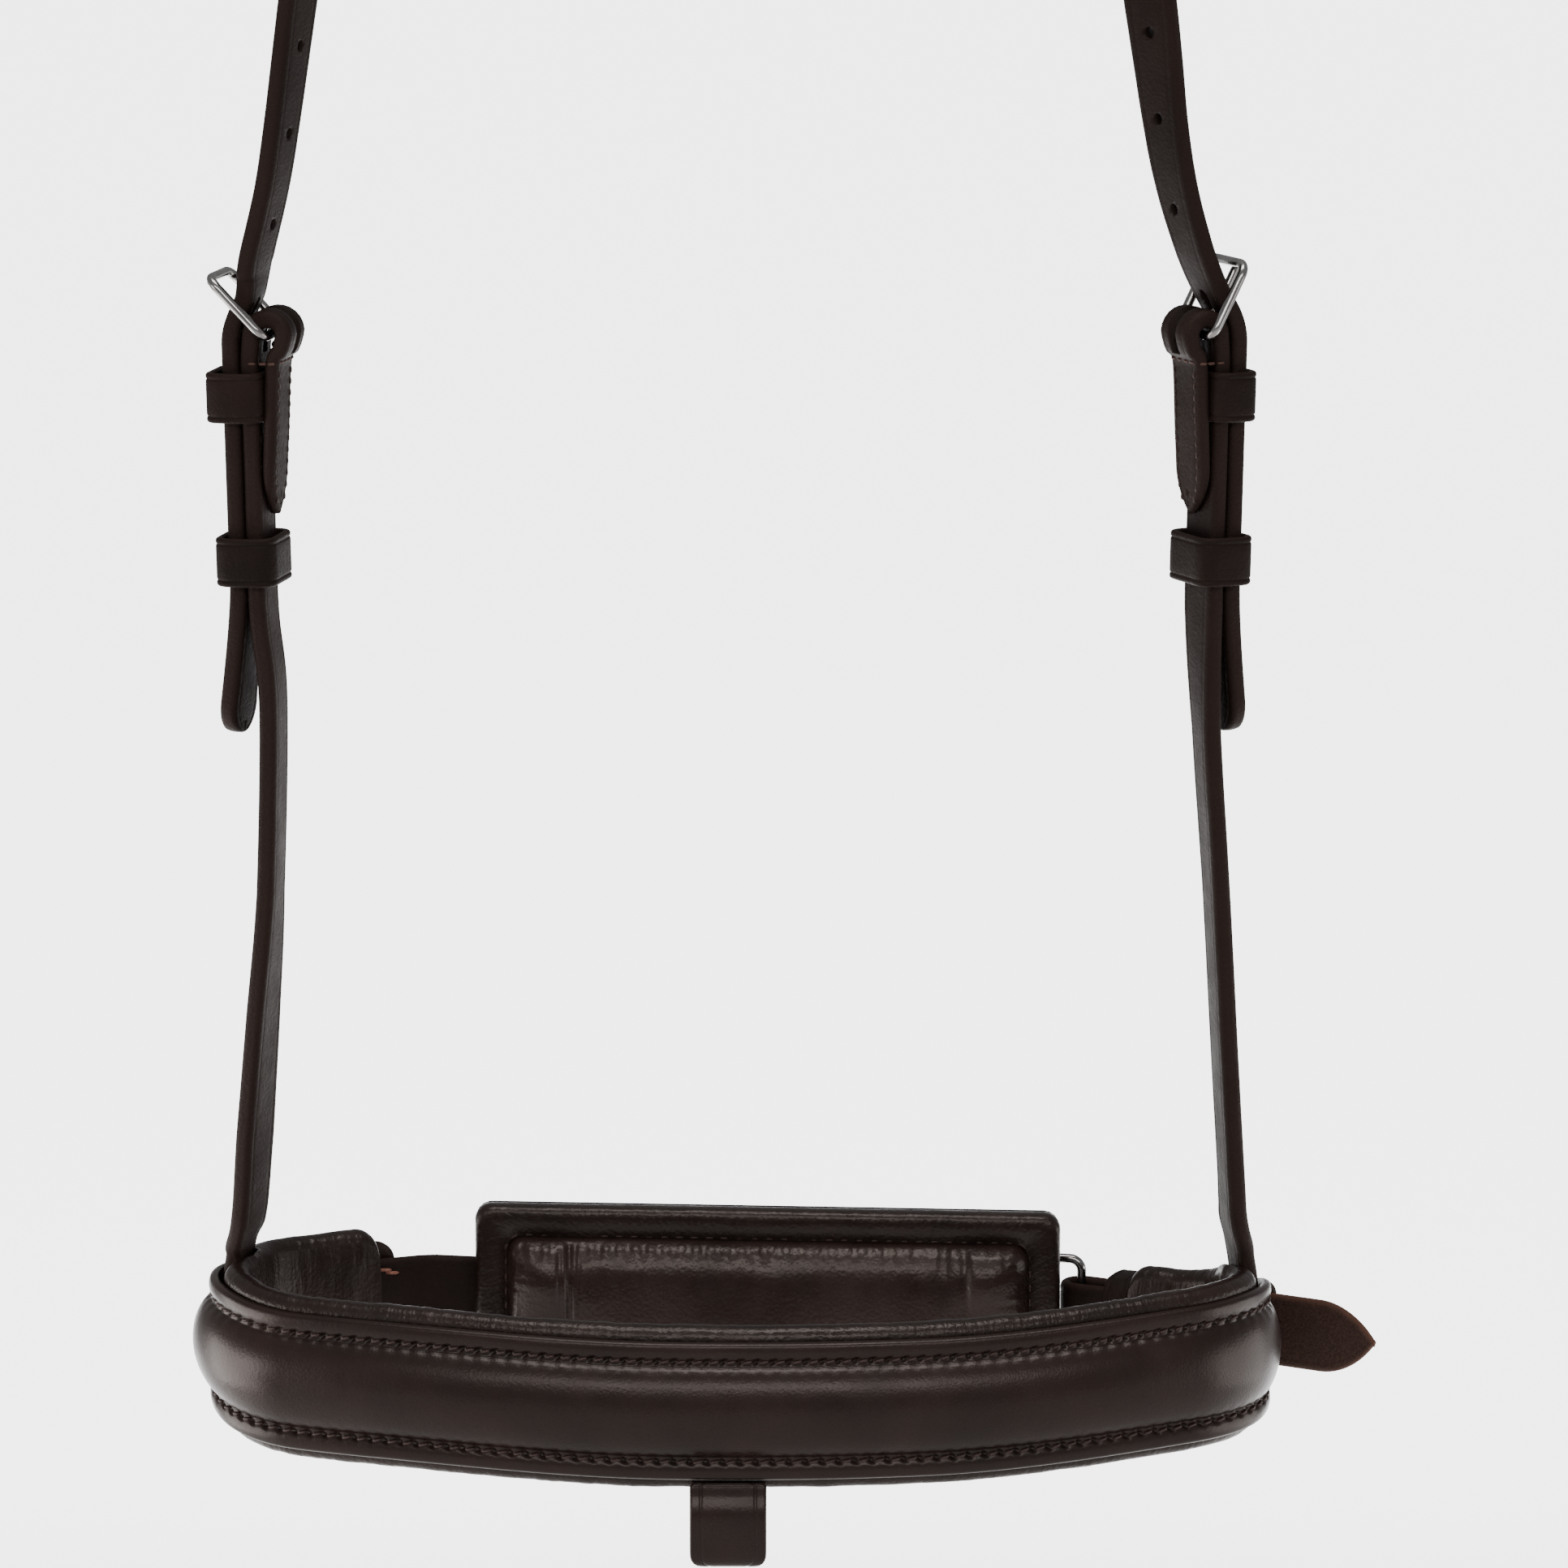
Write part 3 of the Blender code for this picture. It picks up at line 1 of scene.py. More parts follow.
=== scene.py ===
import bpy
import numpy as np
from numpy import (arange, array, broadcast_to, clip, column_stack, concatenate, cos, cross, full, hypot, interp,
                   linspace, maximum, minimum, pi, repeat, roll, sin, sqrt, vstack, where)
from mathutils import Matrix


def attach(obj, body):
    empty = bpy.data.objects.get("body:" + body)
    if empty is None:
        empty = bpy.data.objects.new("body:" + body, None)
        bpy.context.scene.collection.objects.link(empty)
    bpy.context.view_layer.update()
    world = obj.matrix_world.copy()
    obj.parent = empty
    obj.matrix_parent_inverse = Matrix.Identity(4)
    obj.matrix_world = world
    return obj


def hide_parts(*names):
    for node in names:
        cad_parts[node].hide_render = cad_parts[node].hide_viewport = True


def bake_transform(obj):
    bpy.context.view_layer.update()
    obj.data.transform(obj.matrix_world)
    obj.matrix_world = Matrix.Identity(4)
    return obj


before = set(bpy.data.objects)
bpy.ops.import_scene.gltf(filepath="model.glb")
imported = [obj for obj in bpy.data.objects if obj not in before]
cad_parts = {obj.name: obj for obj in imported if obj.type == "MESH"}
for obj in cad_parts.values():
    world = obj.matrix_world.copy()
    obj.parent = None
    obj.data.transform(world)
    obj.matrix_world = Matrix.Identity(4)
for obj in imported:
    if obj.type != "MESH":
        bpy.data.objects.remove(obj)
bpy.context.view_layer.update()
print("frame loaded:", len(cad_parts), "nodes")

deg = pi / 180
up = array([0.0, 0.0, 1.0])
gap = 0.0003                            # between sewn layers
wire, wireShown, tongue = 0.0015, 0.0013, 0.0012        # radii: room for a buckle's bar, the bar shown, its tongue
tongueReach = wire + gap + tongue
barDrop, noseDrop = 0.264, 0.547        # from the crown down to the buckle bars and to the noseband's middle

straps = {"width": 0.015, "thick": 0.0048, "edge": 0.0017, "crownFlat": 0.03, "crownTurn": 82 * deg,
          "lean": 1.3 * deg, "barToStrap": 0.0053, "foldRadius": 0.0046, "keeperSkived": 0.0012, "keeperWall": 0.002}
layer = straps["thick"] + gap

# through: how far out the strap lies as it passes the bar; upper: height over the bar, step out from it, twist
# lower: height over the noseband's middle, share of the way from the bar to the noseband, twist; twists in degrees
hangs = {
    "left": {"side": -1, "barOut": 0.125, "twist": 13, "tailTwist": 24, "tilt": 43 * deg,
             "through": (0.0062, 0.005),
             "upper": [(0.021, 0.0043, 21), (0.039, 0.0, 21), (0.057, -0.003, 23), (0.089, -0.0075, 28)],
             "lower": [(0.182, 0.1, 11), (0.13, 0.21, 11), (0.096, 0.41, 20), (0.062, 0.63, 26), (0.04, 0.78, 23)]},
    "right": {"side": 1, "barOut": 0.1222, "twist": 27, "tailTwist": 27, "tilt": 27 * deg,
              "through": (0.0056, 0.0022),
              "upper": [(0.0245, -0.0009, 30), (0.0396, -0.0052, 34), (0.057, -0.0084, 40), (0.0887, -0.0126, 58)],
              "lower": [(0.175, 0.28, 13), (0.13, 0.49, 11), (0.085, 0.67, 11), (0.052, 0.81, 11), (0.04, 0.86, 12)]},
}

seam = {"noseRadius": 0.3, "noseTurn": 24 * deg, "sideRadius": 0.035, "sideTurn": 129.4 * deg,
        "leftEnd": 0.0218, "rightEnd": 0.014, "taper": 0.14, "tabRise": 0.00475}
# steps up or down of the noseband's middle away from the front: height and the runs it is spread over
rises = {"left": [(0.0016, 0.02, 0.1), (0.005, 0.12, 0.18)], "right": [(0.0037, 0.05, 0.15), (-0.0067, 0.166, 0.206)]}
noseRun = seam["noseRadius"] * seam["noseTurn"]
bendEnd = noseRun + seam["sideRadius"] * seam["sideTurn"]
widest = noseRun + seam["sideRadius"] * (pi / 2 - seam["noseTurn"])
tabRun = widest + seam["sideRadius"] * 12 * deg


def ease(value, low, high):
    # 0 below low, 1 above high, and the cubic 3s^2 - 2s^3 of the share between them
    share = clip((np.asarray(value, float) - low) / (high - low), 0, 1)
    return share * share * (3 - 2 * share)


def hump(value, middle, width):
    # a bell: e to the minus square of the distance from the middle in widths
    return np.exp(-((np.asarray(value, float) - middle) / width) ** 2)


def lumps(points, size, seed):
    # soft noise from -0.5 to 0.5: hashed values at the corners of a lattice, mixed with eased weights
    place = np.asarray(points, float) / size
    cell = np.floor(place).astype(np.int64)
    part = place - cell
    part = part * part * (3 - 2 * part)
    total = np.zeros(place.shape[:-1])
    for corner in np.ndindex(2, 2, 2):
        spot = cell + array(corner)
        value = spot[..., 0] * 374761393 + spot[..., 1] * 668265263 + spot[..., 2] * 1442695041 + seed * 974634777
        value = ((value & 0xffffffff) ^ ((value & 0xffffffff) >> 13)) * 1274126177 & 0xffffffff
        value = ((value ^ (value >> 16)) & 0xffff) / 65535 - 0.5
        total += value * np.prod(where(array(corner) == 1, part, 1 - part), axis=-1)
    return total


def lumpsAt(size, seed, *axes):
    return lumps(np.stack(np.broadcast_arrays(*axes), axis=-1), size, seed)


def unit(vectors):
    return vectors / np.linalg.norm(vectors, axis=-1, keepdims=True)


def square(guide, way):
    # the guide made square to the way, of length one
    return unit(guide - np.einsum("ij,ij->i", guide, way)[:, None] * way)


def runsOf(line):
    # distance along a line, from its first three columns
    return concatenate([[0], np.cumsum(np.linalg.norm(np.diff(line[:, :3], axis=0), axis=1))])


def readAt(line, run, at):
    return np.stack([interp(at, run, column) for column in line.T], axis=1)


def evenly(line, spacing):
    # the same line, all its columns read at even steps of distance
    run = runsOf(line)
    return readAt(line, run, linspace(0, run[-1], max(int(round(run[-1] / spacing)), 2) + 1))


def smoothLine(points):
    # Catmull-Rom curve: half of the sum of the four nearest points by their cubic weights
    p = np.asarray(points, float)
    p = vstack([2 * p[0] - p[1], p, 2 * p[-1] - p[-2]])
    t = linspace(0, 1, 24, endpoint=False)[None, :, None]
    a, b, c, d = (p[k:len(p) - 3 + k, None, :] for k in range(4))
    line = 0.5 * (2 * b + t * (c - a) + t ** 2 * (2 * a - 5 * b + 4 * c - d) + t ** 3 * (3 * b - a - 3 * c + d))
    return vstack([line.reshape(-1, p.shape[1]), p[-2]])


def arcLine(centre, first, second, radius, start=10 * deg, stop=170 * deg, count=24):
    # centre plus radius times (cosine along first, sine along second)
    angle = linspace(start, stop, count)[:, None]
    return np.asarray(centre) + radius * (cos(angle) * first + sin(angle) * second)


def roundedLoop(middle, reach, side, corner, count=10):
    # a closed outline: four corner arcs round a rectangle
    arcs = []
    for along, over, turn in ((1, 1, 0), (-1, 1, 1), (-1, -1, 2), (1, -1, 3)):
        angle = (turn + linspace(0, 1, count)) * pi / 2
        arcs.append(column_stack([middle + along * (reach - corner) + corner * cos(angle),
                                  over * (side - corner) + corner * sin(angle)]))
    return vstack(arcs + [arcs[0][:1]])


def addPiece(name, data):
    # the signed volume, a sum of triple products, is negative when the faces point inwards: then they are flipped
    data.calc_loop_triangles()
    corners = np.zeros(len(data.loop_triangles) * 3, np.int32)
    data.loop_triangles.foreach_get("vertices", corners)
    a, b, c = np.moveaxis(coordsOf(data)[corners.reshape(-1, 3)], 1, 0)
    if np.einsum("ij,ij->i", a, cross(b, c)).sum() < 0:
        data.flip_normals()
    data.shade_smooth()
    piece = bpy.data.objects.new(name, data)
    bpy.context.scene.collection.objects.link(piece)
    return piece


def coordsOf(data):
    points = np.zeros(len(data.vertices) * 3, np.float32)
    data.vertices.foreach_get("co", points)
    return points.reshape(-1, 3).astype(float)


def setCoords(data, points):
    data.vertices.foreach_set("co", points.astype(np.float32).ravel())
    data.update()


def ringQuads(low, high):
    return np.stack([low, roll(low, -1, 1), roll(high, -1, 1), high], axis=-1).reshape(-1, 4)


def gridPiece(name, grid, uv, closedAlong=False, values=None):
    # grid[i, j] is a point at station i and place j round the section; quads join neighbours, ends close on a pole
    n, m = grid.shape[:2]
    points = grid.reshape(-1, 3)
    index = arange(n * m).reshape(n, m)
    quads = ringQuads(index, roll(index, -1, 0)) if closedAlong else ringQuads(index[:-1], index[1:])
    rows, places = np.divmod(arange(len(quads)), m)
    run, around = uv
    corners = np.stack([run[np.stack([rows, rows, rows + 1, rows + 1], axis=-1)],
                        around[np.stack([places, places + 1, places + 1, places], axis=-1)]], axis=-1).reshape(-1, 2)
    faces = quads.tolist()
    if not closedAlong:
        points = vstack([points, grid[0].mean(0), grid[-1].mean(0)])
        for pole, first, second in ((0, roll(index[0], -1), index[0]), (1, index[-1], roll(index[-1], -1))):
            faces += np.stack([full(m, n * m + pole), first, second], axis=-1).tolist()
            capUv = np.stack([full(m, pole * run[-1]), around[:m]], axis=-1)
            corners = vstack([corners, repeat(capUv, 3, 0)])
    data = bpy.data.meshes.new(name)
    data.from_pydata(points.tolist(), [], faces)
    data.uv_layers.new(name="run").data.foreach_set("uv", corners.astype(np.float32).ravel())
    for key, field in (values or {}).items():
        flat = broadcast_to(field, (n, m)).ravel()
        if not closedAlong:
            flat = concatenate([flat, [flat[:m].mean(), flat[-m:].mean()]])
        data.attributes.new(key, "FLOAT", "POINT").data.foreach_set("value", flat.astype(np.float32))
    return addPiece(name, data)


def strapSection(edge, crease=0.0028, creaseDepth=0.00012):
    # columns round a strap's section: side, inset from the edge, face (+1 or -1), drop below it, cut, flesh
    inset = array([0.006, 0.0045, crease + 0.0007, crease + 0.0003, crease, crease - 0.0003,
                   max(edge + 0.0001, crease - 0.0007)])
    angle = arange(0, 91, 18) * deg
    half = column_stack([concatenate([inset, edge * (1 - sin(angle))]),
                         concatenate([creaseDepth * hump(inset, crease, 0.00025), edge * (1 - cos(angle))]),
                         concatenate([np.zeros(7), [0.05, 0.15, 0.35, 0.6, 0.85, 1.0]])])
    right = [(1, i, 1, d, c, 0) for i, d, c in half] + [(1, i, -1, d, c, 1) for i, d, c in half[::-1]]
    return array(right + [(-s, i, f, d, c, u) for s, i, f, d, c, u in reversed(right)], float)


def alongOf(line, run, closed):
    return unit(roll(line, -1, 0) - roll(line, 1, 0) if closed else np.gradient(line, run, axis=0))


blunt = 0.0009      # how far a strap's free end is rounded


def strapPiece(name, line, across, width, thick, section=None, spacing=0.0012, firstTip=0.0, lastTip=0.0,
               firstPointed=0.0, lastPointed=0.0, closed=False, crown=0.0, grow=None):
    # a section carried along a line: point + a times the width direction + b times the normal, rounded at both ends
    side, inset, face, drop, cut, flesh = (strapSection(straps["edge"]) if section is None else section).T
    line = evenly(column_stack([line, across, broadcast_to(thick, len(line))]), spacing)
    run = runsOf(line)
    if closed:
        line, run = line[:-1], run[:-1]
    else:
        ends = array([0.0, 0.0001, 0.0003, 0.0006, blunt])
        at = np.unique(concatenate([run, ends, run[-1] - ends, linspace(0, firstTip, 16),
                                    run[-1] - linspace(0, lastTip, 16)]).round(7))
        line, run = readAt(line, run, at), at
    along = alongOf(line[:, :3], run, closed)
    wide = square(line[:, 3:6], along)
    normal = cross(along, wide)
    half, deep = full(len(line), width / 2), line[:, 6] / 2
    if not closed:
        for tip, pointed, far in ((firstTip, firstPointed, run), (lastTip, lastPointed, run[-1] - run)):
            blunted = sqrt(1 - (1 - clip(far / blunt, 0, 1)) ** 2)
            if tip:
                rounded = (1 - (1 - clip(far / tip, 0, 1)) ** 2) ** (0.5 + 0.5 * pointed)
                half = minimum(half, width / 2 * maximum(rounded, 0.1))
            else:
                half = half - blunt * (1 - blunted)
            deep = deep * (0.45 + 0.55 * blunted)
        cut = maximum(cut[None, :], 1 - clip(minimum(run, run[-1] - run) / 0.0006, 0, 1)[:, None])
    if grow is not None:
        half = half + grow(run)
    a = side * clip(half[:, None] - inset, 0, None)
    b = face * clip(deep[:, None] - drop, 0, None) + face * crown * (1 - (a / (width / 2)) ** 2) * (inset > 0.0008)
    grid = line[:, None, :3] + a[:, :, None] * wide[:, None] + b[:, :, None] * normal[:, None]
    around = concatenate([[0], np.cumsum(np.abs(np.diff(side * (width / 2 - minimum(inset, width / 2)))) + 0.0003)])
    uv = (np.append(run, 2 * run[-1] - run[-2]), np.append(around, around[-1] + 0.001))
    return gridPiece(name, grid, uv, closed, {"cutEdge": cut, "flesh": flesh})


def barPiece(name, line, radius, normal, sides, closed=False):
    # a round bar: circle points carried along the line, shrinking as a quarter circle at free ends
    run = runsOf(line)
    size = full(len(line), radius)
    if not closed:
        far = radius * (1 - cos(linspace(0, 90, 7) * deg))
        at = np.unique(concatenate([run, far, run[-1] - far]).round(7))
        line, run = readAt(line, run, at), at
        near = clip(minimum(run, run[-1] - run) / radius, 0, 1)
        size = radius * sqrt(clip(1 - (1 - near) ** 2, 0.002, 1))
    along = alongOf(line, run, closed)
    first = square(broadcast_to(normal, line.shape), along)
    angle = linspace(0, 2 * pi, sides, endpoint=False)[None, :, None]
    second = cross(along, first)
    grid = line[:, None] + size[:, None, None] * (cos(angle) * first[:, None] + sin(angle) * second[:, None])
    return gridPiece(name, grid, (np.append(run, run[-1] + 0.001), linspace(0, 2 * pi * radius, sides + 1)), closed)


def stitchPiece(name, thread, body, points, along, normal, length, radius, sink, slant=0.0):
    # one thread per point: an egg shape of few faces, its ends bent down into the leather
    points, along, normal = (broadcast_to(v, np.shape(points)).astype(float) for v in (points, along, normal))
    along = square(along, normal)
    along = unit(along * cos(slant) + cross(normal, along) * sin(slant))
    u = linspace(-1, 1, 7)
    angle = linspace(0, 2 * pi, 6, endpoint=False)
    thin = sqrt(clip(1 - u ** 4, 0.02, 1))[:, None]
    x = repeat(u * length / 2, 6)
    y = (thin * cos(angle)).ravel() * radius
    z = (thin * sin(angle)).ravel() * radius - repeat(u ** 4, 6) * radius * 1.2 + radius * (1 - 2 * sink)
    x, y, z = (v[None, :, None] for v in (x, y, z))
    grid = points[:, None] + x * along[:, None] + y * cross(normal, along)[:, None] + z * normal[:, None]
    index = arange(42).reshape(7, 6)
    shift = (arange(len(points)) * 42)[:, None, None]
    quads, caps = ringQuads(index[:-1], index[1:]), array([index[0][::-1], index[-1]])
    data = bpy.data.meshes.new(name)
    data.from_pydata(grid.reshape(-1, 3).tolist(), [], (quads[None] + shift).reshape(-1, 4).tolist()
                     + (caps[None] + shift).reshape(-1, 6).tolist())
    dress(addPiece(name, data), thread, [], body)


def nodesOf(name):
    made = bpy.data.materials.new(name)
    made.use_nodes = True
    tree = made.node_tree
    return made, tree, tree.nodes["Principled BSDF"], add(tree, "TexCoord").outputs["Object"]


def feed(tree, node, inputs):
    # an output of the tree is linked in, anything else is set on the input
    for key, value in inputs.items():
        if isinstance(value, bpy.types.NodeSocket):
            tree.links.new(value, node.inputs[key])
        else:
            node.inputs[key].default_value = value
    return node


def add(tree, kind, inputs=None, **settings):
    node = tree.nodes.new("ShaderNode" + kind)
    for key, value in settings.items():
        setattr(node, key, value)
    return feed(tree, node, inputs or {})


def noise(tree, vector, scale, detail=3.0, rough=0.55):
    node = add(tree, "TexNoise", {"Vector": vector, "Scale": scale, "Detail": detail, "Roughness": rough})
    return node.outputs["Fac"]


def ramp(tree, factor, *stops):
    node = add(tree, "ValToRGB", {"Fac": factor})
    bar = node.color_ramp.elements
    for element, (place, colour) in zip(bar, (stops[0], stops[-1])):
        element.position, element.color = place, (*colour, 1)
    for place, colour in stops[1:-1]:
        bar.new(place).color = (*colour, 1)
    return node.outputs["Color"]


def mix(tree, factor, first, second):
    return add(tree, "Mix", {0: factor, 6: first, 7: second}, data_type="RGBA").outputs[2]


def calc(tree, kind, first, second):
    return add(tree, "Math", {0: first, 1: second}, operation=kind).outputs[0]


def bump(tree, height, strength, distance):
    return add(tree, "Bump", {"Height": height, "Strength": strength, "Distance": distance}).outputs["Normal"]


def spread(tree, value, source, target, kind="LINEAR"):
    # source and target: the two ends of the range that goes in and of the range that comes out
    ends = {"Value": value, "From Min": source[0], "From Max": source[1], "To Min": target[0], "To Max": target[1]}
    return add(tree, "MapRange", ends, interpolation_type=kind).outputs["Result"]


def leather(name, look):
    # colour: a ramp over noise, darkened by finer noise, mixed with fibres on the flesh side and raw dye on cut edges
    # height: cell distances for the pores plus noise for the wrinkles; gloss: noise spread over the look's range
    made, tree, shader, coords = nodesOf(name)
    dark = (*look["dark"], 1)
    colour = ramp(tree, noise(tree, coords, look["mottle"], 4.0), (0.32, look["dark"]), (0.52, look["base"]),
                  (0.74, look["light"]))
    colour = mix(tree, calc(tree, "MULTIPLY", noise(tree, coords, 900, 2.0), 0.3), colour, dark)
    fibres = ramp(tree, noise(tree, coords, 1500), (0.3, look["fleshDark"]), (0.7, look["fleshLight"]))
    for key, paint, amount in (("flesh", fibres, look["fleshShown"]),
                               ("cutEdge", (*look["edge"], 1), look["edgeShown"])):
        field = add(tree, "Attribute", attribute_name=key).outputs["Fac"]
        colour = mix(tree, calc(tree, "MULTIPLY", field, amount), colour, paint)
    pores = add(tree, "TexVoronoi", {"Vector": coords, "Scale": look["pores"]}, feature="SMOOTH_F1")
    height = calc(tree, "ADD", calc(tree, "MULTIPLY", pores.outputs["Distance"], look["poreShare"]),
                  noise(tree, coords, look["wrinkle"], 5.0, 0.62))
    if look["across"]:      # puckers across the piece: noise stretched along the second UV direction
        place = add(tree, "UVMap", uv_map="run").outputs["UV"]
        place = add(tree, "Mapping", {"Vector": place, "Scale": (1.0, 0.14, 1.0)}).outputs["Vector"]
        puckers = calc(tree, "MULTIPLY", noise(tree, place, 620, 2.0), look["across"])
        height = calc(tree, "ADD", height, puckers)
    rough = spread(tree, noise(tree, coords, look["mottle"] * 2.3), (0.3, 0.7), look["rough"])
    feed(tree, shader, {"Base Color": colour, "Normal": bump(tree, height, look["bump"], look["bumpDepth"]),
                        "Roughness": rough, "Specular IOR Level": look["specular"],
                        "Specular Tint": (1.0, 0.9, 0.86, 1)})
    return made


smoothLook = {"base": (0.0175, 0.0098, 0.0082), "dark": (0.011, 0.0061, 0.0051), "light": (0.025, 0.0143, 0.012),
              "mottle": 38, "pores": 1500, "poreShare": 0.8, "wrinkle": 420, "across": 0.0, "bump": 0.2,
              "bumpDepth": 0.00022, "rough": (0.27, 0.35), "specular": 0.32, "edge": (0.021, 0.012, 0.0098),
              "edgeShown": 0.7, "fleshDark": (0.014, 0.008, 0.0064), "fleshLight": (0.03, 0.017, 0.0135),
              "fleshShown": 0.5}
strapLook = {**smoothLook, "base": (0.0145, 0.0082, 0.0067), "dark": (0.0088, 0.0049, 0.004),
             "light": (0.0205, 0.0118, 0.0097), "rough": (0.56, 0.68), "specular": 0.14, "bump": 0.45,
             "bumpDepth": 0.0003, "pores": 1150}
rollLook = {**smoothLook, "base": (0.016, 0.009, 0.0075), "dark": (0.0098, 0.0055, 0.0046),
            "light": (0.0225, 0.0128, 0.0107), "mottle": 60, "pores": 1050, "poreShare": 1.0, "wrinkle": 240,
            "across": 1.8, "bump": 0.34, "bumpDepth": 0.00032, "rough": (0.29, 0.38), "specular": 0.36,
            "edgeShown": 0.2, "fleshShown": 0.0}
# the chin pad's panel: the roll's leather made half as light again, painted light that lifts the shade the noseband
# casts on it
panelLitLook = {**rollLook, "base": (0.024, 0.0135, 0.0113), "dark": (0.015, 0.0085, 0.0071),
             "light": (0.033, 0.019, 0.016), "across": 0.0, "bump": 0.3, "rough": (0.3, 0.38), "specular": 0.42}
# the crank strap's tail: tan cut edges, and a flesh side whose colours are about twice the straps' own, the flesh
# side's lighter tone plus painted light that lifts the tail out of shade
tailFleshLitLook = {**strapLook, "edge": (0.11, 0.048, 0.03), "edgeShown": 0.85, "fleshShown": 0.9,
            "fleshDark": (0.03, 0.0165, 0.0135), "fleshLight": (0.064, 0.036, 0.029)}

faceLeather = leather("smooth_face_leather", smoothLook)
strapLeather = leather("strap_leather", strapLook)
rollLeather = leather("wrinkled_lining_leather", rollLook)
panelLitLeather = leather("inset_panel_leather_painted_light", panelLitLook)
tailFleshLitLeather = leather("raw_backed_leather_painted_light", tailFleshLitLook)


def threadMaterial(name, colour):
    # dyed waxed thread: fine noise darkens and roughens it
    made, tree, shader, coords = nodesOf(name)
    fuzz = noise(tree, coords, 2200, 2.0)
    paint = ramp(tree, fuzz, (0.35, tuple(0.45 * c for c in colour)), (0.65, colour))
    feed(tree, shader, {"Base Color": paint, "Normal": bump(tree, fuzz, 0.5, 0.0001), "Roughness": 0.62})
    return made


darkThread = threadMaterial("brown_thread", (0.05, 0.0235, 0.019))
redThread = threadMaterial("reddish_thread", (0.1, 0.04, 0.028))
tanThread = threadMaterial("tan_thread", (0.34, 0.13, 0.085))


def brightMetal(name):
    # polished steel: fine drawn marks in the bump, slow change of gloss; its colour is kept darker than steel's own,
    # painted shade that dims its reflections of the bright surroundings
    made, tree, shader, coords = nodesOf(name)
    cloud = noise(tree, coords, 140)
    feed(tree, shader, {"Base Color": ramp(tree, cloud, (0.3, (0.27, 0.26, 0.255)), (0.7, (0.42, 0.41, 0.405))),
                        "Roughness": spread(tree, cloud, (0.0, 1.0), (0.1, 0.26)), "Metallic": 1.0,
                        "Normal": bump(tree, noise(tree, coords, 2600, 2.0), 0.06, 0.00005)})
    return made


steel = brightMetal("polished_steel")


def dress(piece, paint, nodes, body=None):
    # gives a piece its material, the nodes it stands for and the body it rides on
    piece.data.materials.clear()
    piece.data.materials.append(paint)
    if nodes:
        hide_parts(*nodes)
    if body:
        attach(piece, body)
    return piece


print("materials made")


def stackAt(origin, down, out):
    # a frame of its own for leather layers: down along them, out through them, across their width
    return {"origin": array(origin, float), "down": down, "out": out, "across": cross(down, out)}


def stackOf(name):
    # the layers at a cheek buckle: origin on the bar, down along the fold, out towards the tail
    values, lean = hangs[name], straps["lean"]
    side, twist = values["side"], values["twist"] * deg
    out = array([side * cos(twist), sin(twist), 0])
    return stackAt([side * values["barOut"], 0, -barDrop], -cos(lean) * up - sin(lean) * out,
                   cos(lean) * out - sin(lean) * up)


def inStack(stack, down, out, across=0.0):
    down, out, across = (np.asarray(v, float)[..., None] for v in (down, out, across))
    return stack["origin"] + down * stack["down"] + out * stack["out"] + across * stack["across"]


def acrossAt(name, line, twists):
    # width direction from the twist angle, read at each point's height
    table = array(sorted(twists))
    angle = interp(line[:, 2], table[:, 0], table[:, 1]) * deg
    return column_stack([hangs[name]["side"] * sin(angle), -cos(angle), np.zeros(len(line))])


def halfPollLine(name):
    # tail tip up through the keepers and the buckle, then the hanging part and the arch to the crown's flat
    values, stack = hangs[name], stackOf(name)
    side, turn, tail = values["side"], straps["crownTurn"], straps["barToStrap"] + layer
    low = [(0.109, tail + 0.0038), (0.085, tail + 0.0011), (0.069, tail), (0.05, tail), (0.033, tail), (0.007, tail),
           (0, tail - 0.0002), (-0.005, 0.0086), (-0.01, values["through"][0]), (-0.016, values["through"][1])]
    points = [inStack(stack, down, out) for down, out in low]
    points += [array([side * (values["barOut"] + step), 0, height - barDrop]) for height, step, _ in values["upper"]]
    height, step, lastTwist = values["upper"][-1]
    drop = barDrop - height + straps["thick"] / 2
    reach = values["barOut"] + step - straps["crownFlat"] / 2
    wide, tall = sin(turn), 1 - cos(turn)
    leaned = (drop - reach * tall / wide) / (wide - cos(turn) * tall / wide)
    radius = (reach - leaned * cos(turn)) / wide
    centre = array([side * straps["crownFlat"] / 2, 0, straps["thick"] / 2 - radius])
    arch = arcLine(centre, array([side, 0, 0]), up, radius, pi / 2 - turn, pi / 2, 80)
    line = vstack([smoothLine(points + [arch[0]])[:-1], arch])
    twists = [(height - barDrop, twist) for height, _, twist in values["upper"]]
    twists += [(inStack(stack, down, 0)[2], twist) for down, twist in
               ((0.105, values["tailTwist"]), (0.07, values["twist"]), (-0.01, values["twist"]))]
    return line, acrossAt(name, line, twists + [(arch[0][2], lastTwist * 0.8), (0.0, 0.0)])


def tilted(stack, tilt):
    # a buckle's two directions: along its tongue and away from the strap under it
    down, out = stack["down"], stack["out"]
    return sin(tilt) * out - cos(tilt) * down, cos(tilt) * out + sin(tilt) * down


def crossing(line, stack, tilt):
    # index where the strap's line meets the plane of the buckle tongue
    height = (line - stack["origin"]) @ tilted(stack, tilt)[1] - tongueReach
    return int(np.argmax((height[:-1] > 0) & (height[1:] <= 0))) + 1


def applyAll(piece):
    bpy.context.view_layer.update()
    done = bpy.data.meshes.new_from_object(piece.evaluated_get(bpy.context.evaluated_depsgraph_get()))
    piece.modifiers.clear()
    piece.data = done


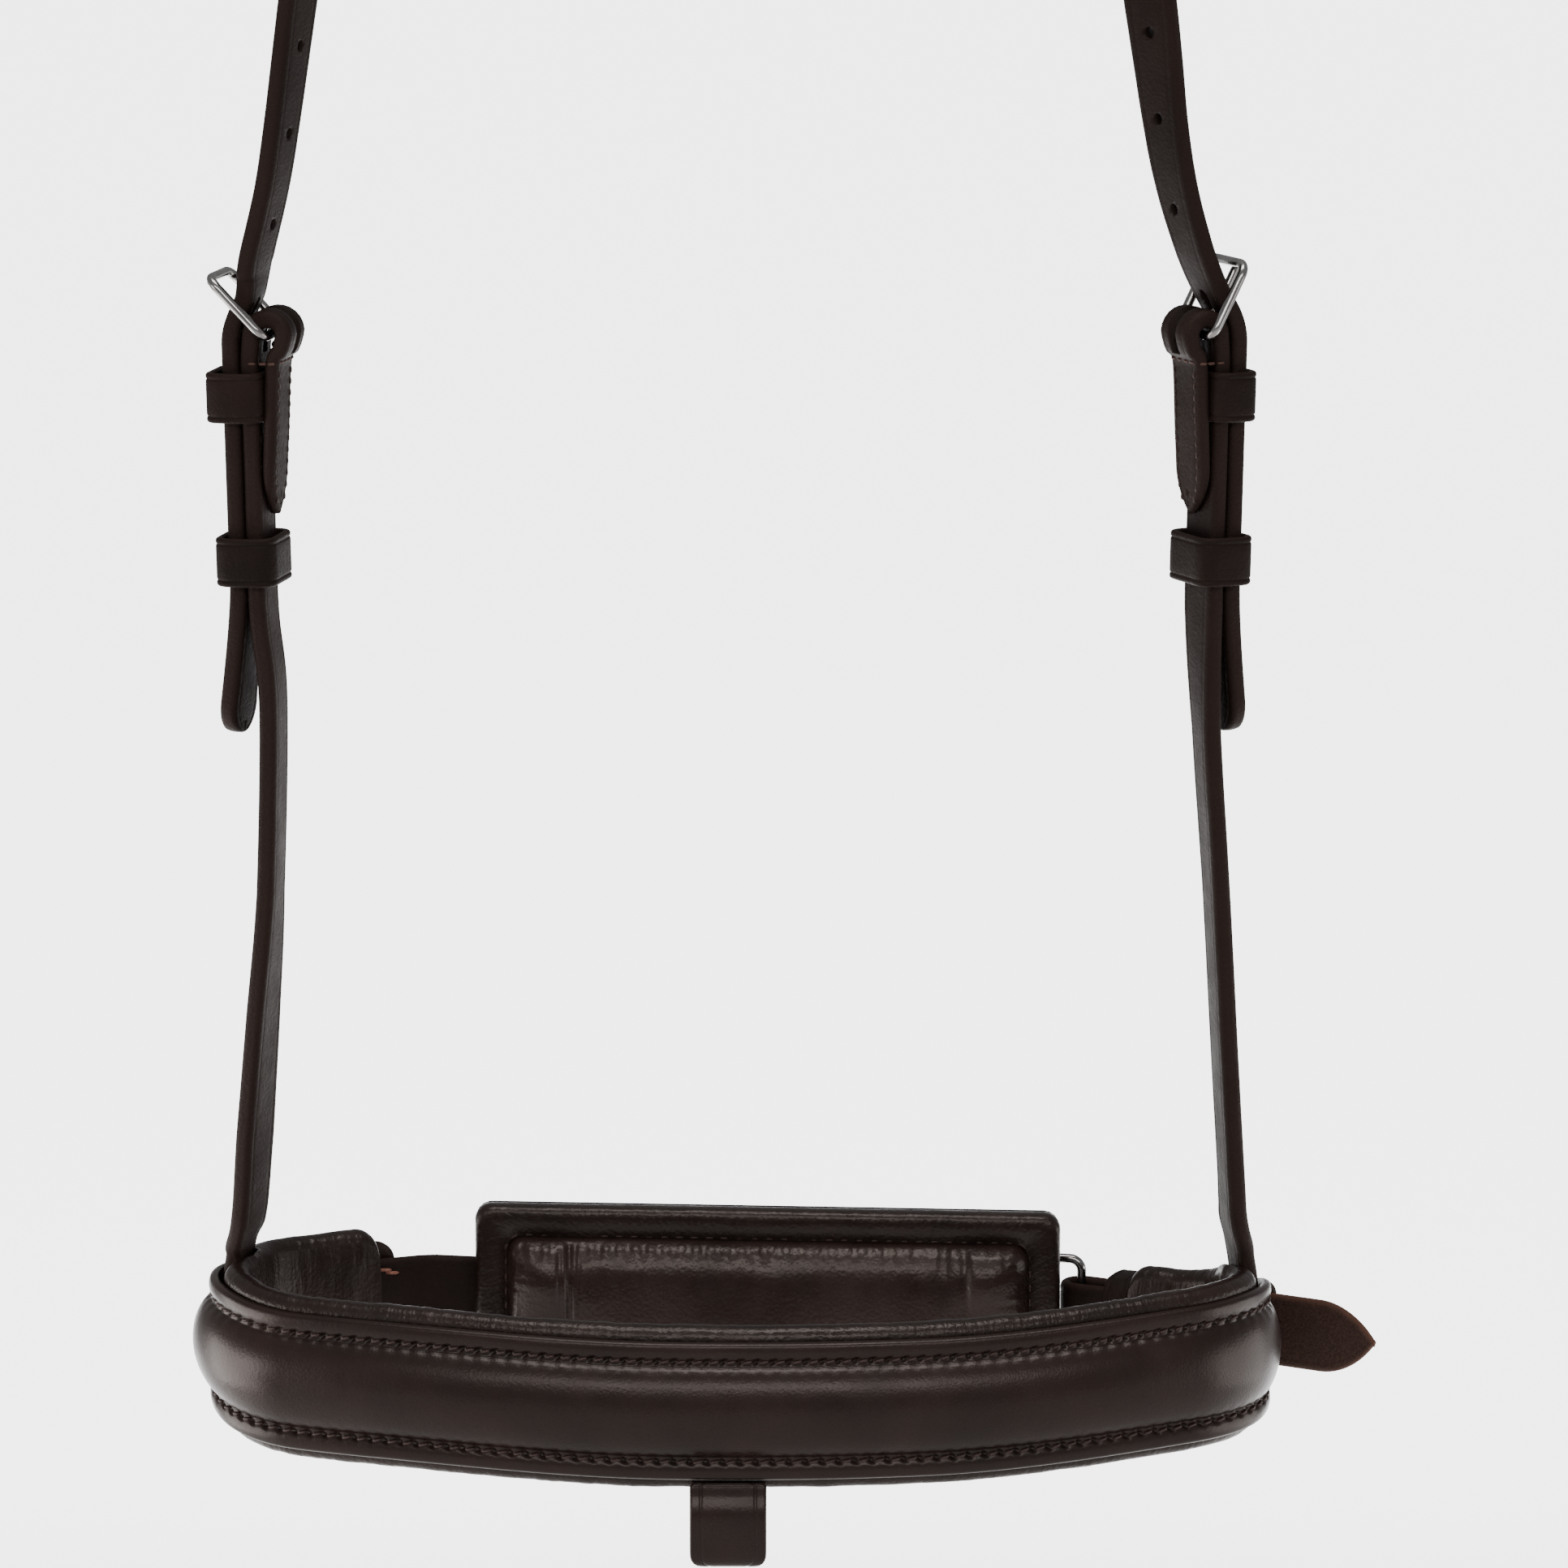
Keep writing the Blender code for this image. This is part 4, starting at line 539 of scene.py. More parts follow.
def cutAway(piece, name, rings):
    # takes out of the piece the solid between two outlines
    cutter = gridPiece(name, rings, (array([0, 1.0]), linspace(0, 1, rings.shape[1] + 1)))
    step = piece.modifiers.new(name, "BOOLEAN")
    step.object, step.operation, step.solver = cutter, "DIFFERENCE", "FAST"
    applyAll(piece)
    bpy.data.objects.remove(cutter)


def cutFold(piece, stack, top, below):
    # the tongue's slot through leather that is folded round the bar
    half = tongue + 0.0006
    out, across = array([(-top, -half), (top, -half), (top, half), (-top, half)]).T
    cutAway(piece, piece.name + "_slot", np.stack([inStack(stack, down, out, across) for down in (-top, below)]))


holeTries = ((0.06, 0), (0.17, 0.0001), (0.11, -0.0001), (0.03, 0.0002), (0.21, -0.0002), (0.09, 0.0003))


def cutHole(piece, name, line, across, k, length, width, depth):
    # a slot with round ends; its outline is turned and moved a little until a straight line passes through
    centre, along = line[k], unit(line[k + 1] - line[k - 1])
    side = unit(across[k] - across[k] @ along * along)
    whole, normal = piece.data, cross(along, side)
    for turned, moved in holeTries:
        angle = linspace(0, 2 * pi, 24, endpoint=False) + turned
        shift = where(cos(angle) >= 0, 1, -1) * (length - width) / 2 + moved
        outline = (shift + width / 2 * cos(angle))[:, None] * along + (width / 2 * sin(angle))[:, None] * side
        cutAway(piece, name, centre + outline[None] + array([-depth, depth])[:, None, None] * normal / 2)
        bpy.context.view_layer.update()
        if not piece.ray_cast((centre + normal * depth / 2).tolist(), (-normal).tolist(), distance=depth)[0]:
            break
        piece.data = whole


pollStrap = {"holePitch": 0.0243, "holeRadius": 0.0016, "above": 3, "below": 2, "longHole": 0.0124, "depth": 0.012,
             "shift": {"left": 0.0022, "right": 0.0045}, "tailTip": 0.009, "crown": 0.00015}


def buildPollStrap():
    halves = {name: halfPollLine(name) for name in hangs}
    line, across = (vstack([left, right[::-1]]) for left, right in zip(halves["left"], halves["right"]))
    piece = strapPiece("poll_strap_leather", line, across, straps["width"], straps["thick"],
                       firstTip=pollStrap["tailTip"], lastTip=pollStrap["tailTip"], crown=pollStrap["crown"])
    for name, (half, wide) in halves.items():
        run = runsOf(half)
        used = crossing(half, stackOf(name), hangs[name]["tilt"])
        for step in range(-pollStrap["below"], pollStrap["above"] + 1):
            shift = pollStrap["shift"][name] if step else 0
            k = int(np.argmin(np.abs(run - run[used] - step * pollStrap["holePitch"] - shift)))
            size = (2 * pollStrap["holeRadius"],) * 2 if step else (pollStrap["longHole"], 2 * (tongue + gap))
            cutHole(piece, f"{name}_hole_{step + 3}", half, wide, k, *size, pollStrap["depth"])
    dress(piece, strapLeather, ["poll_strap"], "head_straps")


cheekStrap = {"turnback": 0.049, "turnbackTip": 0.013, "straightStack": 0.075, "tabSkived": 0.0024,
              "fixedStart": 0.0098, "fixedHeight": 0.0135, "footHeight": 0.0245, "bendX": 0.137, "bendY": 0.006,
              "bendAbove": 0.03, "bendBelow": 0.004}
# the turned-back end: distance below the bar, its middle's distance out, its thickness as it is skived to the tip
turnback = array([(0.0, -0.0046, 0.0048), (0.004, -0.0034, 0.0044), (0.0078, -0.0012, 0.0038),
                  (0.0263, 0.0, 0.0036), (0.0353, 0.0006, 0.0034), (0.049, 0.0012, 0.003)])


def seamPlan(run):
    # the seam line in plan: arc over the nose, tighter arc at the side, then a straight tangent
    far = np.abs(run)
    nose, side, first = seam["noseRadius"], seam["sideRadius"], seam["noseTurn"]
    turn = minimum(where(far <= noseRun, far / nose, first + (far - noseRun) / side), first + seam["sideTurn"])
    rest = maximum(far - bendEnd, 0)
    x = where(far <= noseRun, nose * sin(turn), (nose - side) * sin(first) + side * sin(turn) + rest * cos(turn))
    y = where(far <= noseRun, nose * (1 - cos(turn)),
              nose * (1 - cos(first)) + side * (cos(first) - cos(turn)) + rest * sin(turn))
    return x, y, turn


widestY = float(seamPlan(widest)[1])


def ringRise(run):
    # sum of the side's own steps, each eased over its stretch
    far = np.abs(run)
    left, right = (sum(height * ease(far, low, high) for height, low, high in rises[name]) for name in rises)
    return where(np.asarray(run) < 0, left, right)


def ringPoint(run, out, height):
    # run along the seam, distance outside it, height over the noseband's middle
    run, out, height = np.broadcast_arrays(np.asarray(run, float), out, height)
    x, y, turn = seamPlan(run)
    x = where(run < 0, -1, 1) * (x + out * sin(turn))
    return np.stack([x, y - out * cos(turn) - widestY, height + ringRise(run) - noseDrop], axis=-1)


def cheekLine(name):
    # turnback, round the bar, down beside the tail, then on to the end sewn in the noseband
    values, stack = hangs[name], stackOf(name)
    side, fold, level = values["side"], straps["foldRadius"], straps["barToStrap"]
    back = smoothLine(inStack(stack, *turnback[::-1, :2].T))
    turn = arcLine(stack["origin"], -stack["out"], -stack["down"], fold, count=30)
    outer = [(0, fold), (0.006, level - 0.0001), (0.012, level), (0.04, level), (cheekStrap["straightStack"], level)]
    tabs = [ringPoint(tabRun, -inset, height + seam["tabRise"] - ringRise(tabRun)) * [side, 1, 1] for height, inset in
            ((cheekStrap["footHeight"], 0.005), (0.013, 0.0033), (0.004, 0.0033), (-0.012, 0.0033))]
    reach = side * tabs[0][0] - values["barOut"]
    points = [inStack(stack, down, out) for down, out in outer]
    points += [array([side * (values["barOut"] + share * reach), 0, height - noseDrop])
               for height, share, _ in values["lower"]]
    line = vstack([back, turn, smoothLine(points + tabs)])
    twists = [(height - noseDrop, twist) for height, _, twist in values["lower"]]
    twists += [(inStack(stack, cheekStrap["straightStack"], 0)[2], values["twist"]), (tabs[0][2], 12), (-2.0, 12)]
    height = line[:, 2] + noseDrop - seam["tabRise"]
    thick = cheekStrap["tabSkived"] + (straps["thick"] - cheekStrap["tabSkived"]) * ease(height, 0.004, 0.017)
    thick[:len(back)] = interp((back - stack["origin"]) @ stack["down"], turnback[:, 0], turnback[:, 2])
    return line, acrossAt(name, line, twists), thick


def buildCheekStrap(name):
    line, across, thick = cheekLine(name)
    stack = stackOf(name)
    piece = strapPiece(name + "_cheek_leather", line, across, straps["width"], thick,
                       firstTip=cheekStrap["turnbackTip"], firstPointed=0.7, crown=0.00012)
    cutFold(piece, stack, straps["foldRadius"] + straps["thick"], tongueReach + tongue + 0.001)
    dress(piece, strapLeather, [name + "_cheek_strap", name + "_strap_tab"])
    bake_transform(piece)
    stitchTurnback(name, stack)


def backLevel(down):
    # how far out the turned-back end's outer face lies
    return interp(down, turnback[:, 0], turnback[:, 1] - turnback[:, 2] / 2)


def stitchTurnback(name, stack):
    # thread wrapped over the layers just under the buckle, and a row down each edge of the turned-back end
    near, half, out, across = hangs[name]["side"], straps["width"] / 2, stack["out"], stack["across"]
    bar = inStack(stack, 0.0072, backLevel(0.0072), linspace(-0.005, 0.005, 4))
    edge = inStack(stack, 0.0074, array([-0.0012, 0.0012, 0.0042]), near * half)
    along, normal = (vstack([repeat([onBar], 4, 0), repeat([onEdge], 3, 0)])
                     for onBar, onEdge in ((across, out), (-out, near * across)))
    stitchPiece(name + "_bar_stitches", redThread, "head_straps", vstack([bar, edge]), along, normal,
                0.0023, 0.0004, 0.45)
    down = arange(0.0105, cheekStrap["turnback"] - 0.002, 0.0031)
    tip = clip((cheekStrap["turnback"] - down) / cheekStrap["turnbackTip"], 0, 1)
    inset = (half - 0.0022) * (1 - (1 - tip) ** 2) ** 0.8
    rows = vstack([inStack(stack, down, backLevel(down), side * inset) for side in (-1, 1)])
    stitchPiece(name + "_turnback_stitches", darkThread, "head_straps", rows, stack["down"], -out,
                0.0024, 0.00034, 0.5)


# puffs: how far a keeper bows away from the layers, behind them and in front
keeperLook = {"edge": 0.0008, "crease": 0.0017, "creaseDepth": 0.00032, "corner": 0.003, "bulge": 0.0009,
              "puffs": {"left_fixed": (0.0, 0.0024), "left_loose": (0.0012, 0.0008), "right_fixed": (0.0, 0.0004),
                        "right_loose": (0.0018, 0.0)}}


def keeperPiece(node, stack, start, height, inner, walls, body, puffs=(0.0, 0.0)):
    # a rounded rectangle round the layers, half way up the keeper, with each wall's own thickness
    outLow, outHigh, half = inner
    wallLow, wallHigh, wallSide = walls
    low, high, side = outLow - wallLow / 2, outHigh + wallHigh / 2, half + wallSide / 2
    middle, reach = (low + high) / 2, (high - low) / 2
    corner = min(keeperLook["corner"], reach * 0.6, side * 0.6)
    loop = evenly(roundedLoop(middle, reach, side, corner, 9), 0.0006)
    share = (loop[:, 0] - low) / (high - low)
    thick = wallLow + (wallSide - wallLow) * ease(share, 0.0, 0.12) + (wallHigh - wallSide) * ease(share, 0.88, 1.0)
    away = (loop[:, 0] - middle) / reach
    loop[:, 1] += np.sign(loop[:, 1]) * keeperLook["bulge"] * clip(1 - away ** 2, 0, 1)
    loop[:, 0] += where(away > 0, puffs[1], -puffs[0]) * ease(np.abs(away), 0.2, 0.9)
    line = inStack(stack, start + height / 2, loop[:, 0], loop[:, 1])
    section = strapSection(keeperLook["edge"], keeperLook["crease"], keeperLook["creaseDepth"])
    piece = strapPiece(node + "_leather", line, repeat([stack["down"]], len(line), 0), height, thick, section,
                       spacing=0.0007, closed=True)
    dress(piece, strapLeather, [node], body)


cheekBuckle = {"length": 0.0215, "sideGap": 0.0007, "corner": 0.0034, "overhang": 0.0012,
               "looseStart": 0.0545, "looseHeight": 0.0132, "slide": 0.0006}


def steelPiece(node, body, line, radius, normal, sides, closed=False):
    dress(barPiece(node + "_steel", line, radius, normal, sides, closed), steel, [node], body)


def framePiece(node, body, stack, tilt, length, innerHalf):
    # a rounded rectangle from the bar, tilted up and out
    rise = tilted(stack, tilt)[0]
    loop = roundedLoop(length / 2, length / 2, innerHalf + wire, cheekBuckle["corner"])
    line = evenly(stack["origin"] + loop[:, :1] * rise + loop[:, 1:] * stack["across"], 0.0006)[:-1]
    steelPiece(node, body, line, wireShown, cross(rise, stack["across"]), 20, True)


def buckle(prefix, stack, tilt, length, innerHalf, frameBody, tongueBody):
    framePiece(prefix + "_frame", frameBody, stack, tilt, length, innerHalf)
    rise, over = tilted(stack, tilt)
    hook = arcLine(stack["origin"], rise, over, tongueReach, -235 * deg, 90 * deg, 40)
    rest = stack["origin"] + tongueReach * over + (length + cheekBuckle["overhang"]) * rise
    straight = hook[-1] + (rest - hook[-1]) * linspace(0, 1, 12)[1:, None]
    steelPiece(prefix + "_tongue", tongueBody, evenly(vstack([hook, straight]), 0.0005), tongue, stack["across"], 14)


def buildCheekFittings(name):
    stack = stackOf(name)
    half, slide = straps["width"] / 2, cheekBuckle["slide"]
    wall, skived = straps["keeperWall"], straps["keeperSkived"]
    buckle(name + "_buckle", stack, hangs[name]["tilt"], cheekBuckle["length"], half + cheekBuckle["sideGap"],
           name + "_buckle", name + "_tongue")
    low = straps["barToStrap"] - straps["thick"] / 2
    high = straps["barToStrap"] + layer + straps["thick"] / 2
    for kind, start, height, play, inside, body in (
            ("fixed", cheekStrap["fixedStart"], cheekStrap["fixedHeight"], gap, skived, "head_straps"),
            ("loose", cheekBuckle["looseStart"], cheekBuckle["looseHeight"], slide, wall, name + "_keeper")):
        keeperPiece(f"{name}_{kind}_keeper", stack, start, height, (low - play, high + play, half + play),
                    (inside, wall, wall), body, keeperLook["puffs"][f"{name}_{kind}"])


buildPollStrap()
for sideName in hangs:
    buildCheekStrap(sideName)
    buildCheekFittings(sideName)
print("head straps and buckles made")


face = {"height": 0.038, "endHeight": 0.029, "thick": 0.0024, "bulgeHeight": 0.0246, "bulgePower": 0.72,
        "proud": 0.005, "proudLeft": 0.0052, "proudRight": 0.0034, "fade": 0.014, "leftFlap": 0.008,
        "endRound": 0.006, "row": 0.0138, "pitch": 0.0044, "holeDepth": 0.0013, "grooveDepth": 0.00022,
        "flangeCrown": 0.00055, "wave": 0.00022, "pull": 0.00012, "edgeRound": 0.001, "edgeDrop": 0.0009,
        "stitchLength": 0.003, "stitchRadius": 0.00042, "stitchSlant": 14 * deg}


def halfHeight(run, whole, end, ends):
    # half the height of a layer: lower towards the ends, round at its corners
    half = whole / 2 + (end - whole) / 2 * ease(np.abs(run), seam["taper"], bendEnd)
    left = bendEnd + where(run < 0, ends[0], ends[1]) - np.abs(run)
    corner = face["endRound"]
    return half - where(left < corner, corner - sqrt(clip(corner ** 2 - (corner - left) ** 2, 0, None)), 0)


def bulgeAt(run):
    # how far the middle stands out: its front value eased to the side's, then to nothing past the cheek strap
    side = where(np.asarray(run) < 0, face["proudLeft"], face["proudRight"])
    front = face["proud"] + (side - face["proud"]) * ease(np.abs(run), 0.09, widest)
    return front * (1 - ease(np.abs(run), widest, widest + face["fade"]))


def raisedAt(run, height):
    # the padded middle's profile: a parabola across the height, made fuller by a power under one
    return bulgeAt(run) * clip(1 - (height / (face["bulgeHeight"] / 2)) ** 2, 0, None) ** face["bulgePower"]


def stations(low, high, count):
    # places along the noseband at even steps, closer together towards the rounded ends
    near = face["endRound"] * linspace(0, 1, count) ** 2
    return np.unique(concatenate([arange(low, high, 0.0006), low + near, high - near, [high]]).round(6))


def aroundOf(first, second, last):
    # distance round a section, with the step that closes it
    around = concatenate([[0], np.cumsum(hypot(np.diff(first), np.diff(second)))])
    return np.append(around, around[-1] + last)


def buildFace():
    # front: flat flanges, stitched channels and the raised middle; back: the same lines without the detail
    ends = (seam["leftEnd"] + face["leftFlap"], seam["rightEnd"])
    low, high = -(bendEnd + ends[0]), bendEnd + ends[1]
    run = stations(low, high, 16)
    along, top, row = run[:, None], face["height"] / 2, face["row"]
    squeeze = halfHeight(run, face["height"], face["endHeight"], ends)[:, None] / top
    outer = concatenate([linspace(-1, -0.93, 4)[:-1], linspace(-0.93, -0.8, 4)[:-1], linspace(-0.8, -0.6, 12)[:-1]])
    level = concatenate([outer, linspace(-0.6, 0.6, 21), -outer[::-1]])[None, :]
    height = level * top
    far = np.abs(height)
    flange = face["flangeCrown"] * sin(pi * clip((far - row) / (top - row), 0, 1))
    groove = face["grooveDepth"] * hump(far, row - 0.0002, 0.001)
    phase = (along / face["pitch"]) % 1.0
    slant = (far - row) / 0.0011 * 0.18
    hole = face["holeDepth"] * hump((phase - slant + 0.5) % 1.0, 0.5, 0.13) * hump(far, row, 0.00075)
    pull = face["pull"] * sin(2 * pi * phase) * hump(far, row - 0.0016, 0.0012)
    pull = pull * (1 - ease(np.abs(along), widest + 0.012, widest + 0.03))
    front = face["thick"] + raisedAt(along, height) + flange - groove - hole + pull
    edge = clip((far - (top - face["edgeRound"])) / face["edgeRound"], 0, 1)
    front = front - face["edgeDrop"] * (1 - sqrt(1 - edge ** 2 * 0.98))
    front = front + face["wave"] * lumpsAt(0.018, 3, along, height, 0 * front) * (np.abs(level) < 0.9)
    inner = concatenate([[1.0, 0.97], linspace(0.9, -0.9, 13), [-0.97, -1.0]])[None, :]
    back = raisedAt(along, inner * top) + 0.0004 * (np.abs(inner) > 0.95)
    grid = concatenate([ringPoint(along, front, height * squeeze), ringPoint(along, back, inner * top * squeeze)],
                       axis=1)
    cut = concatenate([(np.abs(level) - 0.975) / 0.02, (np.abs(inner) - 0.95) / 0.04], axis=1)
    flesh = concatenate([0 * level, 0 * inner + 1], axis=1)
    around = concatenate([height[0] + top, 0.04 + (top - inner[0] * top), [0.08]])
    piece = gridPiece("noseband_face_leather", grid, (run - low, around), False,
                      {"cutEdge": clip(cut, 0, 1), "flesh": flesh})
    dress(piece, faceLeather, ["noseband_outer", "noseband_core"], "noseband")
    count = int((widest + 0.016) / face["pitch"])
    runs = (arange(-count, count + 1) + 0.5) * face["pitch"]
    for rowName, sign in (("upper", 1), ("lower", -1)):
        level = sign * row / top * halfHeight(runs, face["height"], face["endHeight"], ends)
        points = ringPoint(runs, face["thick"] - face["grooveDepth"] + 0.0002, level)
        stitchPiece(f"noseband_{rowName}_stitches", darkThread, "noseband", points,
                    ringPoint(runs + 0.0005, face["thick"], level) - points,
                    unit(ringPoint(runs, 0.01, level) - points), face["stitchLength"], face["stitchRadius"], 0.4,
                    face["stitchSlant"])


lining = {"height": 0.045, "endHeight": 0.04, "depth": 0.008, "round": 0.004, "wrinkle": 0.00034, "swell": 0.0006,
          "tabRoom": 0.0074, "tabWidth": 0.0088, "tabBack": 0.0026}


def buildRoll():
    # a closed section carried along the seam: flat against the face, round above and below, with a crowned back;
    # three sizes of noise fold the part that is away from the face
    low, high = -(bendEnd + seam["leftEnd"]), bendEnd + seam["rightEnd"]
    run = stations(low, high, 14)
    along = run[:, None]
    half = halfHeight(run, lining["height"], lining["endHeight"], (seam["leftEnd"], seam["rightEnd"]))[:, None]
    dent = clip(1.25 * maximum(*(hump(along, place, lining["tabWidth"]) for place in (tabRun, -tabRun))), 0, 1)
    front = gap + lining["tabRoom"] * dent
    back = lining["depth"] + lining["tabBack"] * dent
    reach, middle = (back - front) / 2, (back + front) / 2
    angle = (linspace(0, 180, 17) * deg)[None, :]
    corner = minimum(lining["round"], half * 0.7)
    topOut = -middle + reach * cos(angle)
    topUp = half - corner + corner * sin(angle)
    backUp = linspace(1, -1, 19)[None, 1:-1] * (half - corner)
    backOut = -back - lining["swell"] * (1 - (backUp / half) ** 2)
    frontUp = linspace(-1, 1, 9)[None, 1:-1] * (half - corner)
    out = concatenate([topOut, backOut, topOut[:, ::-1], -front + 0 * frontUp], axis=1)
    height = concatenate([topUp, backUp, -topUp[:, ::-1], frontUp], axis=1)
    fold = sum(lumpsAt(size, seed, along, height * flat, out * flat) * amount for size, seed, flat, amount in
               ((0.0017, 11, 0.25, 0.6), (0.0052, 12, 0.25, 0.6), (0.008, 13, 1.0, 0.8)))
    fold = fold * lining["wrinkle"] * (out < -front - 0.0004)
    outwards = np.sign(out + middle) * (np.abs(height) > half - corner * 1.2)
    out = out - fold * where(out < -middle, 1.0, 0.3 * outwards)
    height = height + np.sign(height) * fold * (np.abs(height) > half - corner * 1.1)
    around = aroundOf(out[len(run) // 2], height[len(run) // 2], 0.002)
    piece = gridPiece("noseband_lining_roll", ringPoint(along, out, height), (run - low, around), False,
                      {"cutEdge": 0.0, "flesh": 0.0})
    dress(piece, rollLeather, ["noseband_lining", "noseband_foam"], "noseband")


buildFace()
buildRoll()
print("noseband made")


rear = {"width": 0.0206, "thick": 0.003, "chinBack": 0.106, "pocket": 0.024, "inset": 0.002, "ringLength": 0.0168,
        "ringHeight": 0.0325, "ringIn": 0.04446, "height": -0.0015, "bend": 0.003, "tail": 0.053, "tip": 0.017,
        "chapeThick": 0.0022, "chapeBar": -0.004, "chapeBack": 0.02, "frameLength": 0.0168, "longHole": 0.0125,
        "holeDepth": 0.009, "keeperWidth": 0.0078, "fixedStart": 0.005, "fixedWidth": 0.006, "turnback": 0.0245}
chinY = rear["chinBack"] - widestY
rearZ = rear["height"] - noseDrop
bendX = float(seamPlan(bendEnd)[0])
ringBar = bendX - rear["ringIn"]
nearBar = array([ringBar, chinY + wire + gap + rear["thick"] / 2, rearZ])
endTurn = seam["noseTurn"] + seam["sideTurn"]
bendOut = -rear["inset"] + rear["bend"] + rear["thick"] / 2
bendBar = (bendX - ringBar - rear["ringLength"] * 0.98 + bendOut * sin(endTurn)) / -cos(endTurn)
legOut = bendOut + rear["bend"] + rear["thick"] / 2
chapeBottom = face["thick"] + 1.5 * gap + rear["chapeThick"] / 2
chapeAxis = face["thick"] + 1.5 * gap + rear["chapeThick"] + gap + wire + gap
chapeFold = chapeAxis - chapeBottom
crankOver = chapeAxis + chapeFold + rear["chapeThick"] / 2 + gap + rear["thick"] / 2


def endPoint(run, out, height=rear["height"]):
    # beside the right end's straight stretch, which goes on past the bend as a tangent
    run, out, height = np.broadcast_arrays(np.asarray(run, float), out, height)
    x, y, turn = seamPlan(bendEnd)
    return np.stack([x + run * cos(turn) + out * sin(turn), y + run * sin(turn) - out * cos(turn) - widestY,
                     height - noseDrop], axis=-1)


def upright(line):
    return repeat([up], len(line), 0)


def chinLevel(x):
    # height of the chin strap's middle: straight from the lining's left end to the ring
    left = ringPoint(-(bendEnd + seam["leftEnd"]), -rear["inset"], 0.0)
    return left[2] + (rearZ - left[2]) * clip((x - left[0]) / (ringBar - 0.012 - left[0]), 0, 1)


def buildChinStrap():
    runs = -(bendEnd + seam["leftEnd"] - rear["pocket"] * (1 - linspace(0, 1, 13)))
    marks = array([-0.0955, -0.0875, -0.08, -0.05, 0.0, 0.04, ringBar - 0.012, ringBar])
    bows = array([0.0046, 0.0006, 0, 0, 0, 0, 0, 0])
    lead = smoothLine(vstack([ringPoint(runs, -rear["inset"], 0.0),
                              column_stack([marks, chinY - bows, chinLevel(marks)])]))
    reach = nearBar[1] - chinY
    turn = arcLine(nearBar, array([0, -1.0, 0]), array([1.0, 0, 0]), reach, count=20)
    back = chinY + rear["thick"] + gap
    ends = array([(0, nearBar[1] + reach), (0.006, nearBar[1] + reach - 0.0008), (0.014, back + 0.0004),
                  (0.018, back), (rear["turnback"], back)])
    line = vstack([lead, turn, smoothLine(column_stack([ringBar - ends[:, 0], ends[:, 1], full(5, rearZ)]))])
    piece = strapPiece("chin_strap_leather", line, upright(line), rear["width"], rear["thick"], lastTip=0.008)
    dress(piece, strapLeather, ["chin_strap"], "noseband")
    spots = array([(-0.0996, -0.533), (-0.0976, -0.5341)])      # x and z of the two thread ends in the photograph
    close = np.argmin(np.abs(lead[:, None, 0] - spots[:, 0]), axis=0)
    knots = column_stack([spots[:, 0], lead[close, 1] - rear["thick"] / 2 - 0.001, spots[:, 1]])
    stitchPiece("chin_strap_end_stitches", tanThread, "noseband", knots, [1.0, 0, 0], [0, -1.0, 0],
                0.0042, 0.0005, 0.3)
    across = endPoint(bendBar, bendOut) - nearBar
    way = unit(across)
    framePiece("crank_ring", "crank_ring", stackAt(nearBar, -way, cross(way, up)), 0.0, np.linalg.norm(across),
               rear["ringHeight"] / 2 - wire)


def crankStack(origin):
    return stackAt(origin, unit(endPoint(0, 0, 0) - endPoint(1, 0, 0)), unit(endPoint(0, 1, 0) - endPoint(0, 0, 0)))


def buildCrankStrap():
    bar = rear["chapeBar"]
    stack = crankStack(endPoint(bar, chapeAxis))
    runs = bendEnd + seam["rightEnd"] - rear["pocket"] * (1 - linspace(0, 1, 13))
    first = vstack([ringPoint(runs, -rear["inset"], rear["height"] - ringRise(runs)),
                    endPoint([bendBar - 0.004, bendBar], -rear["inset"])])
    turn = arcLine(endPoint(bendBar, bendOut), -stack["out"], -stack["down"], rear["bend"] + rear["thick"] / 2)
    frameEnd = bar + rear["frameLength"]
    marks = array([(bendBar, legOut), (bendBar - 0.004, legOut), (frameEnd + 0.001, legOut),
                   (frameEnd - 0.002, legOut + 0.0002), (bar + 0.001, crankOver), (bar - 0.003, crankOver + 0.0003),
                   (bar - 0.012, crankOver - 0.0002), (-0.03, crankOver - 0.001),
                   (-rear["tail"], crankOver - 0.0024)])
    line = vstack([smoothLine(first), turn, smoothLine(endPoint(*marks.T))])
    piece = strapPiece("crank_strap_leather", line, upright(line), rear["width"], rear["thick"], lastTip=rear["tip"],
                       lastPointed=0.7)
    clear = legOut + rear["thick"] / 2 + wire + gap + rear["frameLength"] * sin(3 * deg)
    tilt = np.arcsin((clear - chapeAxis) / rear["frameLength"])
    backwards = line[len(line) // 3:][::-1]
    cutHole(piece, "crank_hole", backwards, upright(backwards), crossing(backwards, stack, tilt), rear["longHole"],
            2 * (tongue + gap), rear["holeDepth"])
    shown = 0.15 + 0.85 * ease((coordsOf(piece.data) - endPoint(bar, 0)) @ stack["down"], 0.0, 0.012)
    for key in ("flesh", "cutEdge"):
        field = piece.data.attributes[key].data
        values = np.empty(len(shown), np.float32)
        field.foreach_get("value", values)
        if key == "flesh":      # the smooth side faces the horse before the ring, and out again after it
            values = 1 - values
        field.foreach_set("value", (values * shown).astype(np.float32))
    dress(piece, tailFleshLitLeather, ["crank_strap"], "noseband")
    buckle("crank_buckle", stack, tilt, rear["frameLength"], rear["width"] / 2 + cheekBuckle["sideGap"],
           "crank_buckle", "crank_tongue")


